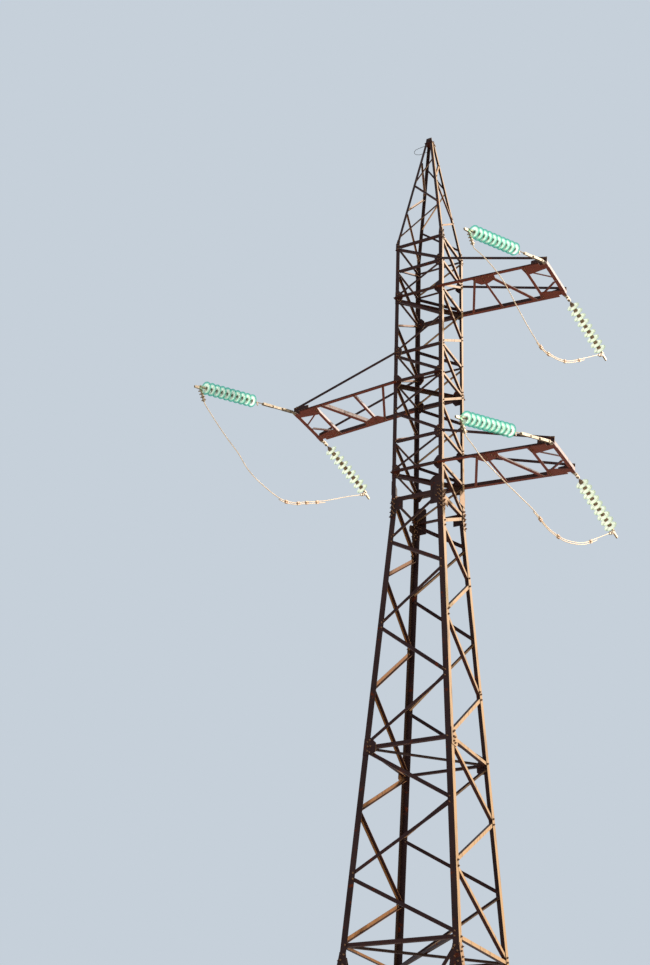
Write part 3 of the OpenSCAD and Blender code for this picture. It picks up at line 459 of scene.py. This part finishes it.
def off_axis(tree, place, points):
    """How far the surface is from the axis of the discs that have these points."""
    centre = points.mean(axis=0)
    axis = np.linalg.svd(points - centre, full_matrices=False)[2][0]
    offset = add_node(tree, "VectorMath", {0: place, 1: centre}, operation="SUBTRACT")
    across = add_node(tree, "VectorMath", {0: offset, 1: axis},
                      operation="CROSS_PRODUCT")
    return add_node(tree, "VectorMath", {0: across}, out="Value", operation="LENGTH")


# %% [markdown]
# ## Milky skin and clear rim
# The rim could be painted by hand, but a distance from the string's axis
# finds it on every disc at once. On the back strings the milky film reaches
# nearly to the edge, 130 mm out. On the front strings light is painted in:
# their green starts further in, their rims are clearer and greener, a painted
# sky seen through the glass, and more light comes through, a painted highlight.

# %% Masks of the glass
# Metres from the string's axis to where the rim starts to clear and is clear
RIM_M = {"back_rim": (0.095, 0.13), "front_lit": (0.082, 0.112)}
FRONT_Y = -0.1
BACK_Y = 0.1
DUST_MM = 90


def glass_masks(tree, place, arm):
    """Where a disc is on a front string, which gets painted light, and where its rim is.
    """
    front, back = strings_of(arm)
    reach = add_node(tree, "Math", {0: off_axis(tree, place, front),
                                    1: off_axis(tree, place, back)},
                     operation="MINIMUM")
    ahead = add_node(tree, "SeparateXYZ", {"Vector": place}, out="Y")
    front_lit = add_node(tree, "MapRange", {"Value": ahead, "From Min": BACK_Y,
                                         "From Max": FRONT_Y})
    start, end = (add_node(tree, "MapRange", {
        "Value": front_lit, "To Min": back_rim, "To Max": front_rim})
        for back_rim, front_rim in zip(RIM_M["back_rim"], RIM_M["front_lit"]))
    rim = add_node(tree, "MapRange", {"Value": reach, "From Min": start,
                                      "From Max": end})
    return front_lit, rim


# %% Glass
def pressed_glass(arm):
    """Milky round the cap, clear and green at the rim, dusty in patches."""
    material, tree, place = new_material("pressed_green_glass_" + arm)
    front_lit, rim = glass_masks(tree, place, arm)
    dust = blotches(tree, place, DUST_MM, 0.35, 0.75, strength=0.6, fine=6)
    # On the front strings the rim's film and tint are greener: painted sky seen through
    # the glass
    pale = coats(tree, hex_rgb("#f9f9ea"), (front_lit, hex_rgb("#c9f1e4")))
    film = coats(tree, hex_rgb("#fffffa"), (rim, pale), (dust, hex_rgb("#fdfbe8")))
    deep = coats(tree, hex_rgb("#dcefd8"), (front_lit, hex_rgb("#98dfd4")))
    tint = coats(tree, hex_rgb("#f2fdf8"), (rim, deep))
    rough = add_node(tree, "MapRange", {"Value": dust, "To Min": 0.2, "To Max": 0.4})
    skin = add_node(tree, "BsdfPrincipled", {
        "Base Color": film, "Roughness": rough, "IOR": 1.5})
    glow = add_node(tree, "BsdfTranslucent", {"Color": film})
    # The front strings glow more and are clearer: a painted highlight
    lit = add_node(tree, "MapRange", {"Value": front_lit, "To Min": 0.55, "To Max": 0.76})
    milk = add_node(tree, "MixShader", {0: lit, 1: skin, 2: glow})
    clear = add_node(tree, "BsdfTransparent", {"Color": tint})
    most = add_node(tree, "MapRange", {"Value": front_lit, "To Min": 0.55, "To Max": 0.82})
    share = add_node(tree, "MapRange", {"Value": rim, "To Min": 0.15, "To Max": most})
    shadow = add_node(tree, "LightPath", out="Is Shadow Ray")
    share = add_node(tree, "MapRange", {"Value": shadow, "To Min": share,
                                        "To Max": 0.95})
    body = add_node(tree, "MixShader", {0: share, 1: milk, 2: clear})
    add_node(tree, "OutputMaterial", {"Surface": body})
    return material


GLASS = {arm: pressed_glass(arm) for arm in ROUTES}
print("glass", list(GLASS))

# %% [markdown]
# ## Iron, zinc and aluminium
# A cap is cast malleable iron with a dull zinc coat, cemented to its disc.
# Links and forks are forged and hot-dip galvanised, and clamps are sand-cast
# aluminium. Casting leaves a fine pebbled skin, and dipping leaves a spangle
# of zinc crystals. All have oxidised, so they shine only softly, with dull
# patches, and with brown stains where water stands. The same three layers of
# noise serve them all, at a scale that comes from each one's grain.

# %% Cast, forged and galvanised metals
# Casting sand leaves grain of about 1 mm and zinc crystals are about 5 mm
# wide, and both are drawn coarser, so that they show at this distance
GRAIN_RELIEF_M = 0.00025


def coated_metal(name, bright, dull, stain, metallic, roughness, grain_mm):
    """Oxidised metal: soft grain, dull patches and brown water stains."""
    material, tree, place = new_material(name)
    patch = blotches(tree, place, grain_mm * 8, 0.3, 0.7)
    grain = blotches(tree, place, grain_mm, 0.25, 0.75)
    stained = blotches(tree, place, grain_mm * 3, 0.52, 0.7, fine=8)
    colour = coats(tree, hex_rgb(bright), (patch, hex_rgb(dull)),
                   (stained, hex_rgb(stain)))
    rough = add_node(tree, "MapRange", {"Value": grain, "To Min": roughness - 0.1,
                                        "To Max": roughness + 0.15})
    relief = add_node(tree, "Bump", {"Height": grain, "Distance": GRAIN_RELIEF_M})
    shader = add_node(tree, "BsdfPrincipled", {
        "Base Color": colour, "Roughness": rough, "Metallic": metallic,
        "Normal": relief})
    add_node(tree, "OutputMaterial", {"Surface": shader})
    return material


# %% Metals of the strings
METALS = {
    "cap_iron": coated_metal("zinc_coated_cast_iron", "#9a7e62", "#745a42",
                             "#4c3728", 0.4, 0.62, 6),
    "galvanised_fitting": coated_metal("hot_dip_galvanised_forging", "#b5a081",
                                       "#867155", "#4a3a2b", 0.5, 0.5, 8),
    "clamp_aluminium": coated_metal("sand_cast_aluminium", "#d2ad88", "#a88461",
                                    "#6e5440", 0.4, 0.55, 5),
    "steel_strand": coated_metal("galvanised_steel_strand", "#45413c", "#35312c",
                                 "#33291f", 0.6, 0.55, 5)}
SURFACES.update(METALS)
print("metals", list(METALS))

# %% [markdown]
# ## Stranded wire
# The outside of a jumper is twelve drawn aluminium wires, which twist one
# turn in 180 mm. Drawn wire is smooth, and years outside leave it pale and
# satin. Its colour is darker in the grooves between the wires. Each wire
# could be a mesh of its own, but they are 4 mm wide here. The tube's UVs give
# turns round and metres along, so a sloping saw-tooth of the two draws the
# twist and its grooves.

# %% Stranded wire
STRANDS = 12
TWIST_M = 0.18
STRAND_RELIEF_M = 0.0004
STAIN_MM = 250


def stranded_wire(name, bright, dull, groove):
    """Pale satin strand that twists, with a groove between its wires."""
    material, tree, place = new_material(name)
    strand = add_node(tree, "UVMap", uv_map="strand")
    turn = add_node(tree, "SeparateXYZ", {"Vector": strand}, out="X")
    along = add_node(tree, "SeparateXYZ", {"Vector": strand}, out="Y")
    turns = add_node(tree, "Math", {0: turn, 1: STRANDS}, operation="MULTIPLY")
    phase = add_node(tree, "Math", {0: along, 1: STRANDS / TWIST_M, 2: turns},
                     operation="MULTIPLY_ADD")
    saw = add_node(tree, "Math", {0: phase, 1: 0.5}, operation="PINGPONG")
    crown = add_node(tree, "MapRange", {"Value": saw, "From Max": 0.22},
                     interpolation_type="SMOOTHERSTEP")
    patch = blotches(tree, place, STAIN_MM, 0.3, 0.7)
    wire = coats(tree, hex_rgb(bright), (patch, hex_rgb(dull)))
    relief = add_node(tree, "Bump", {"Height": crown, "Distance": STRAND_RELIEF_M})
    shader = add_node(tree, "BsdfPrincipled", {
        "Base Color": coats(tree, hex_rgb(groove), (crown, wire)),
        "Metallic": 0.35, "Roughness": 0.5, "Normal": relief})
    add_node(tree, "OutputMaterial", {"Surface": shader})
    return material


SURFACES["aluminium_wire"] = stranded_wire("drawn_aluminium_strand", "#fae0bc",
                                           "#eccb9f", "#c4ad8e")
print("one wire of the strand is", round(math.pi * WIRE_D / STRANDS * 1000, 1),
      "mm wide")

# %% [markdown]
# ## Which piece gets which finish
# The CAD model gives each node a slot, such as leg_steel. The slot alone
# could choose the finish, but each side of the lattice gets its own painted
# sunlit tone and painted shade. So a node's name chooses the bracing and the
# arm's glass, and the slot chooses the rest.


# %% Finish of a node
def finish_of(name):
    """The glass of an arm, the bracing of a side, or the slot's own finish."""
    if slot_of[name] == "green_glass":
        return GLASS[name.split("_")[0]]
    if name.endswith("diaphragms"):
        return BRACING["inside"]
    if name.endswith("arm_frame"):
        return BRACING["arm"]
    if "_face_" in name:
        return BRACING["left" if name.endswith("left") else "right"]
    return SURFACES[slot_of[name]]


# %% Give each piece its finish
for name, piece in frame["nodes"].items():
    piece.data.materials.clear()
    piece.data.materials.append(finish_of(name))
for piece in wires:
    piece.data.materials.append(SURFACES["aluminium_wire"])
print("finished", len(slot_of), "nodes and", len(wires), "wires")

# %% [markdown]
# ## Where a bolt sits
# Every joint of the lattice is bolted. A bolt could be placed from the
# drawing, but then it would float when a plate's thickness changes. Here a
# ray from outside and one from inside find the steel that it goes through,
# so the nut and the head always sit on a real surface. Where the rays find
# too little or too much for a joint, there is no bolt.

# %% Surfaces of all the steel
STEEL_SLOTS = ("leg_steel", "bracing_steel", "plate_steel", "foot_steel")
corners = []
sides = []
for name, piece in frame["nodes"].items():
    if slot_of[name] in STEEL_SLOTS:
        start = len(corners)
        corners += [tuple(v.co) for v in piece.data.vertices]
        sides += [tuple(start + i for i in p.vertices) for p in piece.data.polygons]
steel = BVHTree.FromPolygons(corners, sides)
print("steel", len(corners), "corners", len(sides), "faces")

# %% Seat of a bolt
REACH = 0.07


def grip(point, out):
    """Outer surface along out at a point, and the thickness of the steel there."""
    near = steel.ray_cast(point + REACH * out, -out, 2 * REACH)
    far = steel.ray_cast(point - REACH * out, out, 2 * REACH)
    if near[0] is None or far[0] is None:
        return None, 0.0
    return near[0], (near[0] - far[0]).dot(out)


# %% [markdown]
# ## A bolt
# A hexagon bolt with its nut outside: the head and the nut are six-sided
# with chamfered corners, a round washer lies under the nut, and the thread's
# end stands out a little. Blender's own cylinders would need an edit for
# each chamfer, so every part is a stack of rings instead. Its sizes follow
# the usual proportions, so that one number, the thread's diameter, gives
# them all.


# %% Turned or six-sided blank
def blank(rings, corners_round, seat, out):
    """Vertices and faces of a closed form; rings hold radius and height."""
    side = out.orthogonal().normalized()
    across = out.cross(side)
    angles = [2 * math.pi * j / corners_round for j in range(corners_round)]
    vertices = [seat + out * h + r * (math.cos(t) * side + math.sin(t) * across)
                for r, h in rings for t in angles]
    return vertices, ring_faces(len(rings), corners_round)


# %% Bolt, nut and washer
M20 = 0.020
M16 = 0.016
M12 = 0.012


def bolt(seat, out, thick, d, tip):
    """Blanks of one bolt of thread diameter d, through steel so thick."""
    r = 0.866 * d
    w = 0.19 * d
    nut = [(0.86 * r, w), (r, w + 0.1 * d), (r, w + 0.7 * d), (0.86 * r, w + 0.8 * d)]
    head = [(0.86 * r, -thick - 0.65 * d), (r, -thick - 0.55 * d), (r, -thick)]
    washer = [(0.94 * d, 0), (0.94 * d, w)]
    end = w + 0.8 * d + tip
    shank = [(d / 2, -thick - 0.3 * d), (d / 2, end - 0.1 * d), (0.38 * d, end)]
    return [blank(nut, 6, seat, out), blank(head, 6, seat, out),
            blank(washer, 14, seat, out), blank(shank, 8, seat, out)]


# %% Bolts where there is steel for them
def bolts_at(spots, thinnest, thickest, d, tip):
    """A bolt at each point and direction that has steel of a fit thickness."""
    bolts = []
    for point, out in spots:
        seat, thick = grip(point, out)
        if thinnest < thick < thickest:
            bolts.append(bolt(seat, out, thick, d, tip))
    return bolts


# %% One piece of many bolts
# Painted together with the steel, but over zinc, so it wears to a greyer
# brown and shows rust in more places. Like the steel, its sides towards the
# sun get a painted sunlit tone
bolt_finish = painted_steel("paint_over_zinc_bolts", "#3e2824", "#5a4036", "#c4986d",
                            "#5e3324", 0.58)


def bolt_piece(name, bolts):
    """One object of many bolts, on the pylon's body."""
    vertices = []
    faces = []
    for points, facets in (form for each in bolts for form in each):
        faces += [tuple(len(vertices) + i for i in face) for face in facets]
        vertices += points
    piece = new_piece(name, vertices, faces)
    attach(piece, "root")
    piece.data.materials.append(bolt_finish)
    print(name, len(bolts), "bolts", len(faces), "faces")


# %% [markdown]
# ## Bolts at the ends of the bars
# The bars are bolted to the legs or to gussets at both ends. A list of all
# the ends would be long and easy to get wrong, but each bar is a separate
# solid in its node, and its own corner points tell where it lies. The
# longest direction is its length, and its wide flange is the side that lies
# on the leg. From each end a bolt is moved inwards until there is more
# steel under it than the bar itself, and a second one follows where a
# gusset goes on further. The cross bars inside the lattice touch their
# belts at the edge only, so they get none.


# %% Separate solids of a node
def solids(node):
    """Corner points of each separate solid in a CAD node."""
    mesh = frame["nodes"][node].data
    points = np.array([v.co for v in mesh.vertices])
    _, weld = np.unique(np.round(points, 5), axis=0, return_inverse=True)
    weld = weld.reshape(-1)
    group = np.arange(weld.max() + 1)

    def root(i):
        while group[i] != i:
            group[i] = group[group[i]]
            i = group[i]
        return i

    for edge in mesh.edges:
        a, b = (root(weld[v]) for v in edge.vertices)
        group[a] = b
    roots = np.array([root(i) for i in weld])
    return [points[roots == r] for r in np.unique(roots)]


print("bars on a side of the stand", len(solids("stand_face_front")))


# %% Line of a bar
SLENDER = 4  # what is shorter for its width is a plate, and gets no bolts


def bar_line(points, out):
    """Where a bar starts and ends along its direction, and its middle line."""
    spread = points - points.mean(axis=0)
    along = np.linalg.svd(spread, full_matrices=False)[2][0]
    along -= out * (along @ out)
    along /= np.linalg.norm(along)
    across = np.cross(out, along)
    x, y, depth = points @ along, points @ across, points @ out
    if np.ptp(x) < SLENDER * np.ptp(y):
        return (), along, None
    flanges = [points[abs(depth - z) < 0.001] for z in (depth.max(), depth.min())]
    flat = max(flanges, key=lambda f: np.ptp(f @ across))
    middle = ((flat @ across).max() + (flat @ across).min()) / 2
    return (x.min(), x.max()), along, across * middle + out * (flat @ out).mean()


# %% Bolts of a bar
FIRST_IN = 1.2  # thread diameters from the bar's end
APART = 2.6  # thread diameters from one bolt to the next
FARTHEST_IN = 0.26
SEARCH_STEP = 0.01
MOST_BOLTS = 2
BAR_GRIP = (0.009, 0.05)  # less is the bar alone, and more is no joint


def bar_bolts(points, out, d, tip):
    """Bolts at both ends of a bar whose wide flange faces out or back."""
    ends, along, middle = bar_line(points, out)
    found = []
    for end, sign in zip(ends, (1, -1)):
        bolts = []
        inset = FIRST_IN * d
        while inset < FARTHEST_IN and len(bolts) < MOST_BOLTS:
            spot = (Vector(along * (end + sign * inset) + middle), Vector(out))
            here = bolts_at([spot], *BAR_GRIP, d, tip)
            if bolts and not here:
                break
            bolts += here
            inset += APART * d if here else SEARCH_STEP
        found += bolts
    return found


# %% Shape of the lattice
HALF_FOOT = 1.48  # from the middle of the pylon to its side, at the ground
HALF_PEAK = 0.08  # the same at the top of the peak
HALF_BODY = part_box("upper_legs")[1][0]
WAIST_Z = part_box("lower_legs")[1][2] + 0.001  # the legs stop 1 mm short of it
TOP_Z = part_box("upper_legs")[1][2]
PEAK_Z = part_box("peak_legs")[1][2]
TAPER = math.atan((HALF_FOOT - HALF_BODY) / WAIST_Z)
PEAK_TAPER = math.atan((HALF_BODY - HALF_PEAK) / (PEAK_Z - TOP_Z))
print("half body", HALF_BODY, "waist", WAIST_Z, "top", TOP_Z, "peak", PEAK_Z)


# %% Outward direction of a side
def face_out(k, tilt):
    """Outward direction of face k: 0 front, 1 right, 2 back, 3 left."""
    turn = math.pi / 2 * k
    flat = math.cos(tilt)
    return np.array((math.sin(turn) * flat, -math.cos(turn) * flat, math.sin(tilt)))


print("front faces", face_out(0, TAPER).round(3))

# %% Bars of every face
SIDES = ("front", "right", "back", "left")
GROUPS = {
    "stand_bar_bolts": (["stand_face_" + s for s in SIDES], TAPER, M20, 0.012),
    "tapered_body_bar_bolts": (["lower_face_" + s for s in SIDES], TAPER, M20, 0.012),
    "straight_body_bar_bolts": (["upper_face_" + s for s in SIDES], 0.0, M16, 0.010),
    "peak_bar_bolts": (["peak_bracing"], PEAK_TAPER, M12, 0.008)}
for name, (nodes, tilt, d, tip) in GROUPS.items():
    outs = [face_out(k, tilt) for k in range(4)]
    bolts = []
    for points in (p for node in nodes for p in solids(node)):
        out = max(outs, key=lambda n: points.mean(axis=0) @ n)
        bolts += bar_bolts(points, out, d, tip)
    bolt_piece(name, bolts)

# %% [markdown]
# ## Bolts through the legs
# Splice plates and shoes take a row of bolts on each flange of a leg, set
# in turn near the heel and near the flange's edge. Each row could be
# modelled once and mirrored eight times, but the flanges lean with the
# taper, so every bolt is set on its own leg's face.


# %% Point on a leg's face
def leg_point(k, side, inset, z):
    """Point and outward direction on face k, inset from a leg's heel."""
    half, tilt = HALF_FOOT - z * math.tan(TAPER), TAPER
    if z > WAIST_Z:
        half, tilt = HALF_BODY, 0.0
    if z > TOP_Z:
        half, tilt = HALF_BODY - (z - TOP_Z) * math.tan(PEAK_TAPER), PEAK_TAPER
    turn = Matrix.Rotation(math.pi / 2 * k, 3, "Z")
    return turn @ Vector((side * (half - inset), -half, z)), Vector(face_out(k, tilt))


# %% Rows of bolts on the legs
# Heights, insets from the heel in turn, thread and how far its end stands out
LEG_GRIP = (0.009, 0.06)
ROWS = {
    "shoe_bolts": ([0.10, 0.155, 0.21, 0.265, 0.32], (0.035, 0.09), M20, 0.014),
    "stand_splice_bolts": ([6.30, 6.38, 6.46, 6.54, 6.60, 6.68, 6.76, 6.84],
                           (0.03, 0.08), M20, 0.018),
    "waist_splice_bolts": ([15.03, 15.08, 15.13, 15.18, 15.23, 15.28, 15.33, 15.38],
                           (0.026, 0.058), M20, 0.018),
    "peak_foot_bolts": ([21.36, 21.43, 21.51, 21.57], (0.022, 0.042), M16, 0.006)}
for name, (heights, insets, d, tip) in ROWS.items():
    spots = [leg_point(k, side, insets[i % 2], z) for k in range(4)
             for side in (-1, 1) for i, z in enumerate(heights)]
    bolt_piece(name, bolts_at(spots, *LEG_GRIP, d, tip))

# %% [markdown]
# ## Bolts of the arms
# An arm's chords lap the legs outside their gussets, its flat bars hang
# under the chords' flanges, and the ties end in plates at the tip. All the
# places are given once for an arm that points right, and turned for the
# left one, which is shorter to write than three lists. The arm slopes down
# a little, and its bolts with it.

# %% Places on an arm
# x runs out along the arm from the legs, y across it, and z up from the
# middle of its chords
ARM_L = 2.24
ARM_DROP = 0.15
CHORD_Y = 0.5396  # outer face of a chord's upright flange
BAR_Y = CHORD_Y + 0.013  # on its flat flange, which stands outwards
FLANGE_Z = -0.0375  # underside of the flat flange
ON_FLANGES = [(s * ARM_L, y) for s, y in (
    (0.325, -BAR_Y), (0.1, BAR_Y), (0.39, -BAR_Y), (0.39, BAR_Y), (0.45, -BAR_Y),
    (0.72, BAR_Y), (0.79, -BAR_Y), (0.79, BAR_Y))]
ON_GUSSETS = [(s * ARM_L, y) for s, y in (
    (0.31, -0.485), (0.295, -0.43), (0.39, -0.485), (0.39, -0.43), (0.465, -0.485),
    (0.48, -0.43), (0.79, -0.485), (0.79, -0.43), (0.79, 0.485), (0.79, 0.43))]
ON_CHORDS = [
    (-0.055, 0.006), (-0.018, 0.006), (1.94, 0.012), (2.0, 0.012), (2.06, 0.012),
    (2.12, 0.012), (2.18, 0.012), (2.215, 0.10), (2.165, 0.115)]
print("places on one arm", len(ON_FLANGES) + len(ON_GUSSETS) + 2 * len(ON_CHORDS))

# %% Bolts of the three arms
ARM_GRIP = (0.005, 0.05)
ARM_TIP = 0.012
# Level of each arm at the legs, and its turn from pointing right
ARMS = {"upper": (20.1, 0.0), "left": (18.045, math.pi), "lower": (15.99, 0.0)}
slope = Matrix.Rotation(math.asin(ARM_DROP / ARM_L), 4, "Y")
for name, (level, turn) in ARMS.items():
    at_leg = Matrix.Translation((HALF_BODY, 0, level))
    place = Matrix.Rotation(turn, 4, "Z") @ at_leg @ slope
    spin = place.to_3x3()
    spots = [(place @ Vector((x, y, FLANGE_Z)), spin @ Vector((0, 0, -1)))
             for x, y in ON_FLANGES + ON_GUSSETS]
    spots += [(place @ Vector((x, s * CHORD_Y, z)), spin @ Vector((0, s, 0)))
              for x, z in ON_CHORDS for s in (-1, 1)]
    bolts = bolts_at(spots, *ARM_GRIP, M16, ARM_TIP)
    for points in solids(name + "_arm_ties"):
        out = np.array((0.0, math.copysign(1.0, points.mean(axis=0)[1]), 0.0))
        bolts += bar_bolts(points, out, M16, ARM_TIP)
    bolt_piece(name + "_arm_bolts", bolts)

# %% [markdown]
# ## Light
# One sun, near white and about 33 degrees high, stands on the right and
# behind the pylon. It gives the contrast between bright right sides and
# dark fronts, and it lights the glass through from behind. A lamp close by
# would light the feet and the peak unequally, and a sun doesn't. It is 4
# degrees wide, which softens its shadows, and its strength is the one at
# which a colour renders about as it is written.

# %% Sun
TO_SUN = Vector((0.58, 0.60, 0.55))
sun_data = bpy.data.lights.new("sun", "SUN")
sun_data.energy = 3.7
sun_data.angle = math.radians(4)
sun_data.color = (1.0, 0.96, 0.91)
sun = bpy.data.objects.new("sun", sun_data)
sun.rotation_mode = "QUATERNION"
sun.rotation_quaternion = TO_SUN.to_track_quat("Z", "Y")
bpy.context.scene.collection.objects.link(sun)
print("sun is", round(math.degrees(TO_SUN.angle(Vector((0, 0, 1)))), 1),
      "degrees from straight up")

# %% [markdown]
# ## Floor
# A plain pale matt disc, a little below the feet and so wide that its edge
# lies at the horizon. Light that comes off it reaches the undersides of the
# bars. A single colour would look like paper, so two near greys meet in
# soft blotches.

# %% Floor
FLOOR_M = 900.0
FLOOR_CORNERS = 96
BELOW_FEET_M = 0.002
SPECKLE_MM = 400

turns = np.linspace(0, 2 * np.pi, FLOOR_CORNERS, endpoint=False)
edge = [(FLOOR_M * math.cos(a), FLOOR_M * math.sin(a), 0) for a in turns]
floor = new_piece("floor", edge, [tuple(range(len(edge)))])
floor.location.z = -BELOW_FEET_M
material, tree, place = new_material("pale_matt_floor")
speckle = blotches(tree, place, SPECKLE_MM, 0.2, 0.8)
shade = coats(tree, hex_rgb("#d6d4d0"), (speckle, hex_rgb("#cfcdc9")))
shader = add_node(tree, "BsdfPrincipled", {"Base Color": shade, "Roughness": 0.9})
add_node(tree, "OutputMaterial", {"Surface": shader})
floor.data.materials.append(material)
print("floor", 2 * FLOOR_M, "m across")

# %% [markdown]
# ## Backdrop
# The world does two jobs. It is a weak pale-blue fill, which keeps the dark
# sides readable. And it is the plain pale backdrop behind the pylon, which
# could be a wall, but a wall would stand in the way of other views. So the
# camera's rays see the backdrop, and gloss and glass show it too, while all
# other rays get the fill.

# %% Backdrop and fill
FILL = (0.86, 0.92, 1.0, 1.0)
FILL_STRENGTH = 0.45
world = bpy.data.worlds.new("studio")
bpy.context.scene.world = world
world.use_nodes = True
tree = world.node_tree
tree.nodes.clear()
seen = add_node(tree, "LightPath", out="Is Camera Ray")
for kind in ("Is Glossy Ray", "Is Transmission Ray"):
    ray = add_node(tree, "LightPath", out=kind)
    seen = add_node(tree, "Math", {0: seen, 1: ray}, operation="MAXIMUM")
fill = add_node(tree, "Background", {"Color": FILL, "Strength": FILL_STRENGTH})
pale = add_node(tree, "Background", {"Color": hex_rgb("#c6d0da"), "Strength": 1.0})
both = add_node(tree, "MixShader", {0: seen, 1: fill, 2: pale})
add_node(tree, "OutputWorld", {"Surface": both})
bpy.context.scene.view_settings.view_transform = "Standard"
print("backdrop", len(tree.nodes), "nodes")
